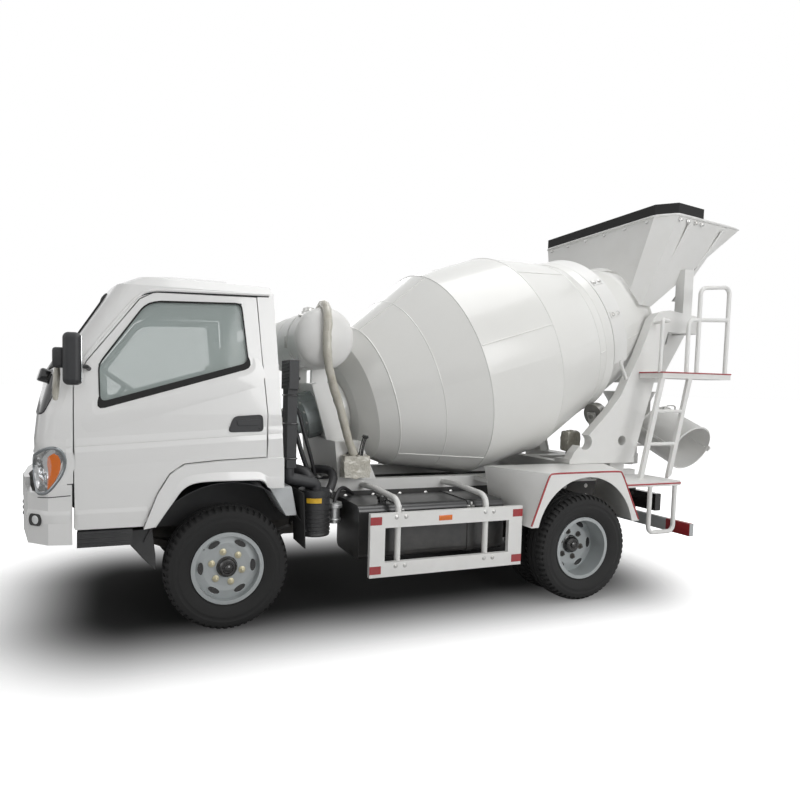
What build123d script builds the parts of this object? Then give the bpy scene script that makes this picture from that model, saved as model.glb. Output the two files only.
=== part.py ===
from build123d import *
import math
import os

# Small concrete mixer truck. Millimetres, +X forward, +Y left, +Z up.
# The origin is on the ground under the middle of the overall length and width.
# Lengths along the truck are measured from one of two anchors: the front axle (cab, engine
# and what hangs between the axles) or the rear axle (drum, its supports and the rear end).

# ---- driving dimensions -------------------------------------------------------------
wheelbase = 2540
front_overhang = 1210
rear_overhang = 1910
overall_length = front_overhang + wheelbase + rear_overhang
front_axle_x = overall_length / 2 - front_overhang
rear_axle_x = front_axle_x - wheelbase

tyre_radius = 388
tyre_width = 200
rim_radius = 225
rim_width = 156
rim_seat_radius = 207
rim_flange_width = 8
rim_plate = 6
bead_gap = 0.5
vent_circle = 165
vent_radius = 20
front_wheel_y = 685
front_disc = 36
front_hub = 26
rear_outer_y = 893
dual_spacing = 245
rear_inner_y = rear_outer_y - dual_spacing
rear_disc = -48
brake_reach = 285
axle_tube_radius = 62

rail_half_width = 380
rail_flange = 60
rail_plate = 8
rail_bottom = 600
rail_height = 165
rail_top = rail_bottom + rail_height
rail_front = 900
subframe_height = 85
subframe_top = rail_top + subframe_height
rear_end = -1130

cab_panel = 40
glass_thickness = 6
door_gap = 6
door_depth = 45
door_skin = 18
door_step = 12
roof_edge_z = 2080
floor_thickness = 25
seat_floor_z = 1000
foot_floor_z = 790
foot_floor_back = 510
cab_pivot_x = 850
cab_pivot_z = 650
cab_pin_radius = 15

kingpin_y = 600
kingpin_radius = 18
steering_arm = 150

drum_incline = 16.65
drum_start_x = 1541
drum_start_z = 1378
drum_head_radius = 561
drum_radius = 845
drum_mouth_radius = 455
drum_head_length = 229
drum_length = 2778
drum_belly_front = 834
drum_belly_rear = 1448
drum_wall = 8
track_radius = 675
track_front = 2032
track_width = 80
roller_radius = 100
roller_width = 62
roller_angle = 30
roller_gap = 0.4
roller_pin = 18

tank_radius = 210
tank_half_length = 560
tank_z = 1850
tank_x = 1841
tower_top = 1545
gearbox_radius = 175

arm_inner_y = 530
arm_thickness = 80
arm_outer_y = arm_inner_y + arm_thickness
beam_top = 948
shoulder_top = 985
hoop_radius = 660
hoop_front = 2125
hoop_width = 130
drum_gap = 30
sheet = 8
hopper_top_z = 2950
hopper_bottom_z = 2250
rubber_height = 90
pour_reach = 140
funnel_top_z = 2080
funnel_bottom_z = 1620
tube_radius = 16

chute_x = -1430
chute_radius = 195
chute_slope = 24
chute_reach = 700
chute_head_z = 1340
chute_hinge_z = 1300
chute_head_radius = 245
chute_head_top = 1530
hood_flare_z = 1440
chute_wall = 6
chute_pin_radius = 14
chute_post_radius = 45
fold_gap = 5
fold_pin = 6
extension_length = 400

bumper_bottom = 615
bumper_top = 950
pane_inset = 16

bearing_gap = 0.3


# ---- small makers -------------------------------------------------------------------
def box(x0, x1, y0, y1, z0, z1):
    return Pos((x0 + x1) / 2, (y0 + y1) / 2, (z0 + z1) / 2) * Box(x1 - x0, y1 - y0, z1 - z0)


def side_plate(outline, y0, y1):
    """A flat piece: its (x, z) outline pulled from y0 to y1."""
    face = make_face(Polyline(*[(x, y0, z) for x, z in outline], close=True))
    return extrude(face, amount=y1 - y0, dir=(0, 1, 0))


def plan_plate(outline, z0, z1):
    """A flat piece: its (x, y) outline pulled from z0 to z1."""
    face = make_face(Polyline(*[(x, y, z0) for x, y in outline], close=True))
    return extrude(face, amount=z1 - z0, dir=(0, 0, 1))


def rod(start, end, radius):
    start, end = Vector(*start), Vector(*end)
    return Solid.make_cylinder(radius, (end - start).length, Plane(origin=start, z_dir=end - start))


def tube(points, radius, bend):
    """A round bar along straight runs with round bends."""
    path = FilletPolyline(*points, radius=bend)
    return sweep(Plane(origin=path @ 0, z_dir=path % 0) * Circle(radius), path=path)


def turned(outline):
    """A piece turned about the Z axis, from its (radius, height) outline."""
    return revolve(make_face(Polyline(*[(r, 0, h) for r, h in outline], close=True)), axis=Axis.Z)


def frustum(lower, upper, z0, z1):
    """The straight-sided solid between two (x, y) outlines with as many corners."""
    faces = [make_face(Polyline(*[(x, y, z) for x, y in outline], close=True))
             for outline, z in ((lower, z0), (upper, z1))]
    return loft(faces, ruled=True)


def both_sides(piece):
    """A piece and its mirror image across the truck's middle plane."""
    return piece, mirror(piece, about=Plane.XZ)


def merged(pieces):
    result = pieces[0]
    for piece in pieces[1:]:
        result = result + piece
    return result


def largest(shape):
    return max(shape.solids(), key=lambda solid: solid.volume)


def front(x):
    return front_axle_x + x


def rear(x):
    return rear_axle_x + x


# ---- wheels -------------------------------------------------------------------------
def tyre():
    """A tyre about Z, its middle plane at z = 0, seated on the rim with a bead gap."""
    half, bead = tyre_width / 2, rim_width / 2 - rim_flange_width - bead_gap
    seat = rim_seat_radius + bead_gap
    lower = [(seat, -bead), (rim_radius + bead_gap, -bead), (rim_radius + 30, -half + 6),
             (rim_radius + 85, -half),
             (tyre_radius - 28, -half + 8), (tyre_radius, -half + 34)]
    return turned(lower + [(r, -z) for r, z in reversed(lower)])


def rim(disc_z, hub_length):
    """A steel rim about Z. Its disc stands at disc_z, on a hub that reaches hub_length inboard."""
    half, inner = rim_width / 2, rim_seat_radius - rim_plate
    lower = [(inner, -half), (rim_radius, -half), (rim_radius, -half + rim_flange_width),
             (rim_seat_radius, -half + rim_flange_width)]
    barrel = turned(lower + [(r, -z) for r, z in reversed(lower)])
    disc = turned([(0, disc_z - 22), (inner + 1, disc_z - 14), (inner + 1, disc_z - 4), (150, disc_z + 2),
                   (120, disc_z), (0, disc_z)])
    holes = [Rot(0, 0, 60 * i) * Pos(vent_circle, 0, disc_z) * Cylinder(vent_radius, 80) for i in range(6)]
    hub = turned([(0, disc_z + 34), (46, disc_z + 34), (56, disc_z + 26), (58, disc_z - 4), (92, disc_z - 20),
                  (92, disc_z - 22 - hub_length), (0, disc_z - 22 - hub_length)])
    return barrel + (disc - Part() - holes) + hub


def wheel_place(x, y, side):
    """Stands a wheel made about Z on its axle, its outer face away from the truck."""
    return Pos(x, side * y, tyre_radius) * Rot(-90 * side, 0, 0)


def make_wheels(nodes):
    for side, name in ((1, "left"), (-1, "right")):
        place = wheel_place(front_axle_x, front_wheel_y, side)
        nodes["tyre_front_" + name] = [place * tyre()]
        nodes["rim_front_" + name] = [place * rim(front_disc, front_hub)]
        outer = wheel_place(rear_axle_x, rear_outer_y, side)
        inner = wheel_place(rear_axle_x, rear_inner_y, side)
        nodes["tyres_rear_" + name] = [outer * tyre(), inner * tyre()]
        brake = outer * turned([(0, rear_disc - 20), (150, rear_disc - 20), (160, -brake_reach),
                                (0, -brake_reach)])
        twin = inner * Rot(180, 0, 0) * rim(rear_disc, 10)
        nodes["rims_rear_" + name] = [outer * rim(rear_disc, 60) + twin + brake]


# ---- chassis ------------------------------------------------------------------------
def make_chassis(nodes):
    x0, x1 = rear(rear_end), front(rail_front)
    web_y, inner_y = rail_half_width - rail_plate, rail_half_width - rail_flange
    rail = [box(x0, x1, web_y, rail_half_width, rail_bottom, rail_top)]
    rail += [box(x0, x1, inner_y, rail_half_width, z, z + rail_plate)
             for z in (rail_bottom, rail_top - rail_plate)]
    nodes["chassis_rails"] = list(both_sides(merged(rail)))
    z0, z1 = rail_bottom + 25, rail_top - 25
    # middle of each cross channel along the truck
    rows = [front(740), front(-420), front(-900), rear(760), rear(430), rear(-430), rear(rear_end + 30)]
    members = [box(x - 30, x + 30, -web_y, web_y, z0, z1) for x in rows]
    pin = rod((front(cab_pivot_x), -web_y, cab_pivot_z), (front(cab_pivot_x), web_y, cab_pivot_z),
              cab_pin_radius)
    rest = [box(front(-300), front(-240), -web_y, web_y, rail_top + 175, seat_floor_z - bearing_gap)]
    rest += [box(front(-300), front(-240), s * (web_y - 21) - 21, s * (web_y - 21) + 21, rail_top,
                 rail_top + 180)
             for s in (1, -1)]
    nodes["chassis_crossmembers"] = members + [pin, merged(rest)]

    spring_y0, spring_y1 = rail_half_width - 62, rail_half_width - 2
    boss = [Pos(front_axle_x, s * kingpin_y, 363) * Cylinder(26, 126) for s in (1, -1)]
    beam = merged([box(front(-45), front(45), -540, 540, 300, 370)]
                  + [box(front(-22), front(22), s * 556 - 30, s * 556 + 30, 306, 364)
                     for s in (1, -1)] + boss)
    bores = [Pos(front_axle_x, s * kingpin_y, 363) * Cylinder(kingpin_radius + bearing_gap, 200)
             for s in (1, -1)]
    nodes["front_axle"] = [beam - bores]
    front_pair = both_sides(leaf_spring(front_axle_x, 370, 560, spring_y0, spring_y1))

    reach = rear_outer_y - brake_reach - bearing_gap
    housing = rod((rear_axle_x, -reach, tyre_radius), (rear_axle_x, reach, tyre_radius), axle_tube_radius)
    ball = Pos(rear_axle_x, 0, tyre_radius) * Sphere(165)
    nose = rod((rear_axle_x, 0, tyre_radius), (rear(240), 0, tyre_radius), 70)
    shaft = rod((rear(290), 0, tyre_radius + 4), (front(-750), 0, 518), 38)
    ends = [rod((rear(240), 0, tyre_radius), (rear(330), 0, tyre_radius), 48),
            rod((front(-800), 0, 520), (front(-700), 0, 520), 48)]
    nodes["rear_axle"] = [merged([housing, ball, nose] + ends + [shaft])]
    rear_pair = both_sides(leaf_spring(rear_axle_x, tyre_radius + axle_tube_radius, 600, spring_y0,
                                       spring_y1))
    nodes["leaf_springs"] = list(front_pair + rear_pair)

    block = box(front(-330), front(470), -230, 230, 470, 930)
    bell = box(front(-700), front(-330), -150, 150, 420, rail_bottom + 15)
    nodes["engine_block"] = [merged([block, bell, box(front(260), front(340), -web_y, web_y, 630, 690)])]


def leaf_spring(x, seat_z, half_length, y0, y1):
    """A pack of leaves as one bowed bar, with its hangers up to the frame rail."""
    thick, rise = 60, rail_bottom - seat_z - 75
    lower = [(x - half_length, seat_z + rise), (x - half_length * 0.5, seat_z + rise * 0.25),
             (x - 90, seat_z),
             (x + 90, seat_z), (x + half_length * 0.5, seat_z + rise * 0.25),
             (x + half_length, seat_z + rise)]
    upper = [(px, pz + (thick if abs(px - x) < half_length * 0.9 else 24)) for px, pz in reversed(lower)]
    bar = side_plate(lower + upper, y0, y1)
    hangers = [box(px - 30, px + 30, y0, y1, seat_z + rise + 10, rail_bottom) for px in
               (x - half_length + 20, x + half_length - 20)]
    return merged([bar] + hangers)


def make_steering(nodes):
    arm_y = kingpin_y - 70
    hub_end = front_wheel_y + front_disc - 22 - front_hub - bearing_gap
    for side, name in ((1, "left"), (-1, "right")):
        def block(x0, x1, y0, y1, z0, z1):
            """A box whose y runs outward from the kingpin."""
            ya, yb = side * (kingpin_y + y0), side * (kingpin_y + y1)
            return box(front(x0), front(x1), min(ya, yb), max(ya, yb), z0, z1)

        pin = Pos(front_axle_x, side * kingpin_y, 363) * Cylinder(kingpin_radius, 176)
        spindle = rod((front_axle_x, side * (kingpin_y + 35), tyre_radius),
                      (front_axle_x, side * hub_end, tyre_radius),
                      38)
        plates = [block(-34, 34, 30, 50, 275, 451), block(-34, 34, -34, 40, 275, 297),
                  block(-34, 34, -34, 50, 429, 451),
                  block(-70, -20, -90, 40, 276, 296), block(-steering_arm - 22, -20, -94, -46, 276, 296)]
        nodes["knuckle_" + name] = [merged([pin, spindle] + plates)]
    bar_x = front(-steering_arm)
    nodes["tie_rod"] = [merged([rod((bar_x, -arm_y, 262), (bar_x, arm_y, 262), 13)]
                               + [Pos(bar_x, s * arm_y, 262) * Cylinder(20, 27.4) for s in (1, -1)])]


# ---- between the axles --------------------------------------------------------------
def make_side_units(nodes):
    tank_y0, tank_y1, tank_z0, tank_z1 = 400, 800, 380, 740
    tank = box(front(-1975), front(-850), tank_y0, tank_y1, tank_z0, tank_z1)
    tank = fillet(tank.edges().filter_by(Axis.X), 45)
    for x in (front(-1150), front(-1700)):
        strap = box(x - 25, x + 25, tank_y0 - 6, tank_y1 + 6, tank_z0 - 6, tank_z1 + 6)
        strap = fillet(strap.edges().filter_by(Axis.X), 48)
        tank = tank + strap + box(x - 25, x + 25, rail_half_width, tank_y0 + 2, rail_bottom,
                                  rail_bottom + 120)
    nodes["fuel_tank"] = [tank]

    can_x, can_y = front(-590), 640
    duct_x = front(-392)
    intake = [Pos(can_x, can_y, 690) * Cylinder(105, 300),
              box(can_x - 30, can_x + 30, rail_half_width, can_y - 60, 640, 700),
              box(duct_x - 35, duct_x + 27, 640, 760, 1000, 1560),
              box(duct_x - 35, duct_x + 27, 600, 790, 1500, 1680),
              tube([(duct_x, 700, 1010), (duct_x, 700, 930), (can_x, can_y + 30, 880),
                    (can_x, can_y + 30, 835)], 38, 30),
              box(duct_x - 30, duct_x + 10, rail_half_width, 660, 1010, 1040),
              box(duct_x - 30, duct_x + 10, rail_half_width, rail_half_width + 30, rail_bottom + 40, 1040)]
    nodes["air_intake"] = [merged(intake)]
    filter_x = front(-765)
    nodes["fuel_filter"] = [merged([Pos(filter_x, 560, 640) * Cylinder(38, 110),
                                    Pos(filter_x, 560, 710) * Cylinder(52, 34),
                                    box(filter_x - 30, filter_x + 30, rail_half_width, 530, 700, 722)])]

    nodes["battery_box"] = [box(front(-1150), front(-560), -760, -400, 430, 740)
                            + box(front(-1100), front(-610), -402, -rail_half_width, rail_bottom,
                                  rail_bottom + 120)]
    flap = side_plate([(front(-452), 850), (front(-466), 500), (front(-474), 500), (front(-460), 850)], 590,
                      840)
    shelf = box(front(-460), front(-452), rail_half_width, 600, 700, 760)
    nodes["mudflaps"] = list(both_sides(flap + shelf))


def make_guards(nodes):
    y0, y1 = 900, 930
    x0, x1 = front(-2035), front(-875)
    bars = [box(x0, x1, y0, y1, 620, 715), box(x0, x1, y0, y1, 300, 395), box(x1 - 105, x1, y0, y1, 300, 715),
            box(x0, x0 + 110, y0, y1, 300, 715)]
    for x in (-1093, -1765):
        bars.append(tube([(front(x + 45), rail_half_width + 2, 808), (front(x + 30), 560, 815),
                          (front(x), 882, 790),
                          (front(x), 882, 305)], 20, 70))
    left = merged(bars)
    nodes["side_guards"] = list(both_sides(left))


def make_rear_end(nodes):
    # fender: the (x, z) outline of its outer wall and the longer one of its inner edge
    outer = [(rear(484), 570), (rear(339), 945), (rear(-302), 945), (rear(-489), 570)]
    inner = [(rear(484), 570), (rear(560), 945), (rear(-560), 945), (rear(-489), 570)]
    wall, y_in, y_out = 10, 540, 1000

    def block(dy0, dy1, shrink):
        faces = []
        for outline, y in ((inner, y_in + dy0), (outer, y_out + dy1)):
            (ax, az), (bx, bz), (cx, cz), (dx, dz) = outline
            points = [(ax - shrink, az - shrink), (bx - shrink, bz - shrink), (cx + shrink, cz - shrink),
                      (dx + shrink, dz - shrink)]
            faces.append(make_face(Polyline(*[(x, y, z) for x, z in points], close=True)))
        return loft(faces, ruled=True)

    fender = block(0, 0, 0) - block(-1, -wall, wall)
    fender = fender - rod((rear_axle_x, y_out - 3 * wall, 480), (rear_axle_x, y_out + wall, 480), 430)
    shelves = [box(rear(x - 35), rear(x + 35), rail_half_width, y_in + wall, 812, 840) for x in (500, -505)]
    nodes["rear_fenders"] = list(both_sides(merged([fender] + shelves)))

    bar_x = rear(rear_end + 10)
    bar = box(bar_x - 20, bar_x + 20, -930, 930, 390, 490)
    legs = [box(bar_x - 20, bar_x + 20, min(s * 330, s * 380), max(s * 330, s * 380), 480, rail_bottom)
            for s in (1, -1)]
    nodes["underrun_bar"] = [merged([bar] + legs)]
    lamp = box(rear(-1110), rear(-1050), 384, 650, 540, 683)
    lamp_ear = box(rear(-1100), rear(-1060), rail_half_width, 400, 620, 660)
    nodes["tail_lamps"] = list(both_sides(lamp + lamp_ear))


# ---- mixer --------------------------------------------------------------------------
def drum_place():
    tilt = math.radians(drum_incline)
    return Location(Plane(origin=(rear(drum_start_x), 0, drum_start_z), x_dir=(0, 1, 0),
                          z_dir=(-math.cos(tilt), 0, math.sin(tilt))))


def drum_point(along, up=0.0, across=0.0):
    """A place from the drum's front hub: along its axis, up from it and across to the left."""
    tilt = math.radians(drum_incline)
    return (rear(drum_start_x) - along * math.cos(tilt) + up * math.sin(tilt), across,
            drum_start_z + along * math.sin(tilt) + up * math.cos(tilt))


def cone_radius(along):
    """The outer radius of the rear cone."""
    share = (along - drum_belly_rear) / (drum_length - drum_belly_rear)
    return drum_radius + (drum_mouth_radius - drum_radius) * share


def drum_outline(inset):
    return [(max(drum_head_radius * 0.36 - inset, 0), inset), (drum_head_radius * 0.55 - inset, 16 + inset),
            (drum_head_radius * 0.84 - inset, 105 + inset),
            (drum_head_radius - inset, drum_head_length + inset * 0.5),
            (drum_radius - 11 - inset, drum_belly_front), (drum_radius - inset, drum_belly_rear)]


def make_drum(nodes):
    outer, inner = drum_outline(0), drum_outline(drum_wall)
    head = turned([(0, 0)] + outer[:5] + list(reversed(inner[:5])) + [(0, drum_wall)])
    belly = turned(outer[4:] + list(reversed(inner[4:])))
    cone = turned([outer[5], (drum_mouth_radius, drum_length),
                   (drum_mouth_radius - drum_wall, drum_length), inner[5]])
    hub = turned([(0, -50), (210, -50), (210, -4), (150, 1), (0, 1)])
    track = turned([(track_radius - 30, track_front), (track_radius, track_front),
                    (track_radius, track_front + track_width), (cone_radius(track_front + track_width) - 4,
                                                                track_front + track_width)])
    lip = turned([(drum_mouth_radius - 2, drum_length - 22), (drum_mouth_radius + 8, drum_length - 22),
                  (drum_mouth_radius + 8, drum_length), (drum_mouth_radius - 2, drum_length)])
    nodes["drum_head"] = [drum_place() * (head + hub)]
    nodes["drum_belly"] = [drum_place() * belly]
    nodes["drum_cone"] = [drum_place() * (cone + track + lip)]

    for side, name in ((1, "left"), (-1, "right")):
        wheel = Cylinder(roller_radius, roller_width) + Cylinder(roller_pin, roller_width + 64)
        nodes["roller_" + name] = [roller_place(side) * wheel]


def roller_place(side, shift=0.0):
    """The middle of a roller, its axis along the drum's, moved rearward by a shift."""
    reach = track_radius + roller_radius + roller_gap
    angle = math.radians(roller_angle)
    centre = drum_point(track_front + track_width / 2 + shift, -reach * math.cos(angle),
                        side * reach * math.sin(angle))
    return Location(Plane(origin=centre, x_dir=(0, 1, 0), z_dir=(drum_place() * Plane.XY).z_dir))


def drum_clearance(gap, start, end):
    """What the drum's wall sweeps between two places along its axis, with a gap all round."""
    r0, r1 = cone_radius(start), cone_radius(end)
    return drum_place() * turned([(r0 - drum_wall - gap, start), (r0 + gap, start), (r1 + gap, end),
                                  (r1 - drum_wall - gap, end)])


def make_front_support(nodes):
    nodes["subframe_rails"] = list(both_sides(
        box(rear(rear_end + 20), front(-640), rail_half_width - rail_flange, rail_half_width, rail_top,
            subframe_top)))
    # the box under the gearbox: (x, z) of its side, then folded sheets along that outline
    half, top_z, fold = 400, 1130, 12
    foot_rear, foot_front, head_rear, head_front = rear(1391), rear(1691), rear(1519), rear(1719)
    side = [(foot_front, subframe_top), (foot_rear, subframe_top), (head_rear, top_z), (head_front, top_z)]
    sheets = [side_plate([side[0], (foot_front - fold, subframe_top), (head_front - fold, top_z), side[3]],
                         -half, half),
              side_plate([side[1], side[2], (head_rear + fold, top_z), (foot_rear + fold, subframe_top)],
                         -half, half),
              box(head_rear, head_front, -half, half, top_z - fold, top_z)]
    sheets += [side_plate(side, y, y + 15) for y in (-half, half - 15)]
    window = rod((rear(1580), -500, 1010), (rear(1580), 500, 1010), 60)
    # the upright frame round the gearbox, square to the drum's axis; its local Y points down
    tower = drum_place() * (Pos(0, 20, -165) * Box(500, 500, 110))
    ribs = [drum_place() * (Pos(s * 262, 40, -165) * Box(24, 560, 190)) for s in (1, -1)]
    keep = box(rear(500), rear(2500), -1000, 1000, top_z, tower_top)
    bore = drum_place() * (Pos(0, 0, -200) * Cylinder(gearbox_radius + bearing_gap, 600))
    nodes["drum_pedestal"] = [merged([merged(sheets) - window, merged([tower] + ribs) & keep]) - bore]

    gearbox = turned([(0, -50.4), (205, -50.4), (205, -108), (gearbox_radius, -108), (gearbox_radius, -330),
                      (120, -352),
                      (120, -400), (88, -404), (88, -600), (0, -600)])
    nodes["drum_gearbox"] = [drum_place() * gearbox]
    nodes["control_box"] = [box(rear(1460), rear(1700), half + bearing_gap, half + 100, 870, 1040)]

    straight = tank_half_length - 90
    tank = rod((rear(tank_x), -straight, tank_z), (rear(tank_x), straight, tank_z), tank_radius)
    domes = [Pos(rear(tank_x), s * straight, tank_z) * scale(Sphere(tank_radius), by=(1, 0.55, 1))
             for s in (1, -1)]
    saddles = [box(rear(tank_x - 100), rear(tank_x + 20), s * 250 - 20, s * 250 + 20, tower_top, tank_z - 120)
               for s in (1, -1)]
    nodes["water_tank"] = [merged([tank] + domes + saddles)]


def make_rear_support(nodes):
    # outline (x, z) of one arm, from its foot up its front edge and down its rear edge
    outline = [(-190, shoulder_top), (-220, 1040), (-560, 1370), (-670, 1500), (-840, 1825), (-972, 2130),
               (-1020, 2180),
               (-1146, 2210), (-1500, 2170), (-1500, 2030), (-1138, 2030), (-1045, 1720),
               (-830, shoulder_top)]
    arm = side_plate([(rear(x), z) for x, z in outline], arm_inner_y, arm_outer_y)
    holes = [rod((rear(x), 400, z), (rear(x), 700, z), r) for x, z, r in ((-330, 1120, 62), (-700, 1130, 40))]
    post = box(rear(-1390), rear(-1290), arm_inner_y, arm_outer_y, 2160, 2560)
    arms = list(both_sides((arm - holes + post) - hopper_block(0)))

    beams = [box(rear(x0), rear(x1), -arm_inner_y, arm_inner_y, subframe_top, beam_top)
             for x0, x1 in ((-310, -210), (-820, -670))]
    shoulders = [box(rear(-840), rear(-180), min(s * 440, s * arm_outer_y), max(s * 440, s * arm_outer_y),
                     beam_top,
                     shoulder_top) for s in (1, -1)]
    boom = box(rear(chute_x - 60), rear(-260), -60, 60, subframe_top, beam_top)
    socket = Pos(rear(chute_x), 0, 930) * Cylinder(75, 160)
    bore = Pos(rear(chute_x), 0, 930) * Cylinder(chute_post_radius + bearing_gap, 400)
    stands = []
    above = box(rear(-1200), rear(0), -arm_inner_y, arm_inner_y, subframe_top + 2, 1500)
    for side in (1, -1):
        cheeks = [Pos(0, 200, s * (roller_width / 2 + 13)) * Box(84, 460, 14) for s in (1, -1)]
        post = Pos(0, roller_radius + 180, 0) * Box(60, 340, roller_width + 24)
        pin_bore = Cylinder(roller_pin + bearing_gap, roller_width + 200)
        stands.append((roller_place(side) * (merged(cheeks + [post]) - pin_bore)) & above)
    nodes["rear_frame"] = [merged(beams + shoulders + [boom, socket] + stands) - bore]

    hoop = drum_place() * turned([(hoop_radius, hoop_front), (hoop_radius + 8, hoop_front),
                                  (hoop_radius + 8, hoop_front + hoop_width),
                                  (hoop_radius, hoop_front + hoop_width)])
    below = drum_place() * (Pos(0, 1000 + 250, hoop_front) * Box(3000, 2000, 800))
    stays = []
    for side in (1, -1):
        top = drum_point(hoop_front + hoop_width / 2, -236, side * 622)
        stays.append(rod(top, (rear(-770), side * (arm_inner_y + arm_thickness / 2), 1600), 13))
    nodes["rear_arms"] = arms + [merged([hoop - below] + stays) - merged(arms)]


def hopper_block(inset):
    """The solid between the hopper's lower and upper outlines, drawn in by an inset."""
    top = [(-914, -620), (-914, 620), (-1040, 730), (-1909, 600), (-1909, -600), (-1040, -730)]
    bottom = [(-839, -440), (-839, 440), (-919, 540), (-1059, 500), (-1059, -500), (-919, -540)]
    return frustum(drawn_in(bottom, inset, -1000), drawn_in(top, inset, -1300), hopper_bottom_z, hopper_top_z)


def drawn_in(outline, inset, middle):
    """An (x, y) outline behind the rear axle, each corner moved in toward its middle."""
    return [(rear(x + (inset if x < middle else -inset)), y - math.copysign(inset, y)) for x, y in outline]


def make_hopper(nodes):
    mouth = drum_clearance(drum_gap, 2200, drum_length + 24)
    hopper = hopper_block(0) - hopper_block(sheet) - mouth
    wall = largest(hopper)

    rim_line = [(-1380, -678), (-1040, -730), (-914, -620), (-914, 620), (-1040, 730), (-1380, 678)]
    outside = [(rear(x), y) for x, y in rim_line]
    band = outside + list(reversed(drawn_in(rim_line, sheet, -5000)))
    nodes["hopper_rubber"] = [plan_plate(band, hopper_top_z, hopper_top_z + rubber_height)]

    top = [(-1160, -400), (-1160, 400), (-1610, 400), (-1610, -400)]
    low = [(-1310, -200), (-1310, 200), (-1550, 200), (-1550, -200)]
    solids = [frustum(drawn_in(low, inset, -1400), drawn_in(top, inset, -1400), funnel_bottom_z, funnel_top_z)
              for inset in (0, sheet)]
    pour = (drum_place() * Pos(0, 0, drum_length + pour_reach / 2)
            * Cylinder(drum_mouth_radius, pour_reach + 200))
    body = largest(solids[0] - solids[1] - mouth - pour)
    wings = [box(rear(-1500), rear(-1440), min(s * 392, s * arm_inner_y), max(s * 392, s * arm_inner_y),
                 2032, 2062)
             for s in (1, -1)]
    nodes["hopper"] = [wall, merged([body] + wings)]


def make_access(nodes):
    deck_z0, deck_z1, rail_y = 1640, 1690, 800
    deck = box(rear(-1590), rear(-846), 615, 830, deck_z0, deck_z1)
    tie = box(rear(-1010), rear(-970), arm_outer_y, 620, deck_z0 + 8, deck_z1 - 8)
    loop = tube([(rear(-1240), rail_y, deck_z1 - 5), (rear(-1240), rail_y, 2370), (rear(-1560), rail_y, 2400),
                 (rear(-1560), rail_y, deck_z1 - 5)], tube_radius, 60)
    knee = tube([(rear(-1130), rail_y, deck_z1 - 5), (rear(-1130), rail_y, 2110),
                 (rear(-1552), rail_y, 2130)],
                tube_radius, 60)
    post = tube([(rear(-850), rail_y, deck_z1 - 5), (rear(-850), rail_y, 2100),
                 (rear(-990), rail_y - 60, 2100),
                 (rear(-990), arm_outer_y, 2100)], 14, 30)
    nodes["platform"] = [merged([deck, tie, loop, knee, post])]

    step = [(-926, 620), (-926, 970), (-395, 970), (-566, 540), (-566, rail_half_width),
            (-700, rail_half_width),
            (-700, 620)]
    parts = [plan_plate([(rear(x), y) for x, y in step], 812, subframe_top)]
    # top and bottom place of each stile along the truck
    stiles = [(-862, -690), (-1150, -984)]
    parts += [side_plate([(rear(a - 20), deck_z0), (rear(a + 20), deck_z0), (rear(b + 20), subframe_top - 5),
                          (rear(b - 20), subframe_top - 5)], rail_y, rail_y + 25) for a, b in stiles[:1]]
    parts += [side_plate([(rear(stiles[1][0] - 20), deck_z0), (rear(stiles[1][0] + 20), deck_z0),
                          (rear(-964), 870),
                          (rear(-964), subframe_top - 5), (rear(-920), subframe_top - 38),
                          (rear(-1004), 870)], rail_y, rail_y + 25)]
    parts += [rod((rear(x0), rail_y + 12, z), (rear(x1), rail_y + 12, z), 14)
              for x0, x1, z in ((-1095, -800, 1380), (-1040, -745, 1120))]
    parts.append(tube([(rear(-640), 950, 830), (rear(-640), 950, 455), (rear(-890), 950, 455),
                       (rear(-890), 950, 830)],
                      tube_radius, 50))
    nodes["ladder"] = [merged(parts)]


def chute_place(along=0.0):
    """The chute's own frame: Z runs down the trough, X across it, Y down out of its back."""
    slope = math.radians(chute_slope)
    direction = Vector(0, math.cos(slope), -math.sin(slope))
    origin = Vector(rear(chute_x), 0, chute_head_z) + direction * along
    return Location(Plane(origin=origin, x_dir=(1, 0, 0), z_dir=direction))


def half_pipe(start, end, side):
    """Half of a round pipe along the chute: side 1 is its lower half, -1 its upper half."""
    length = end - start
    ring = Cylinder(chute_radius, length) - Cylinder(chute_radius - chute_wall, length + 2)
    keep = Pos(0, side * chute_radius, 0) * Box(2 * chute_radius + 2, 2 * chute_radius, length + 4)
    return chute_place(start + length / 2) * (ring & keep)


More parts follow.
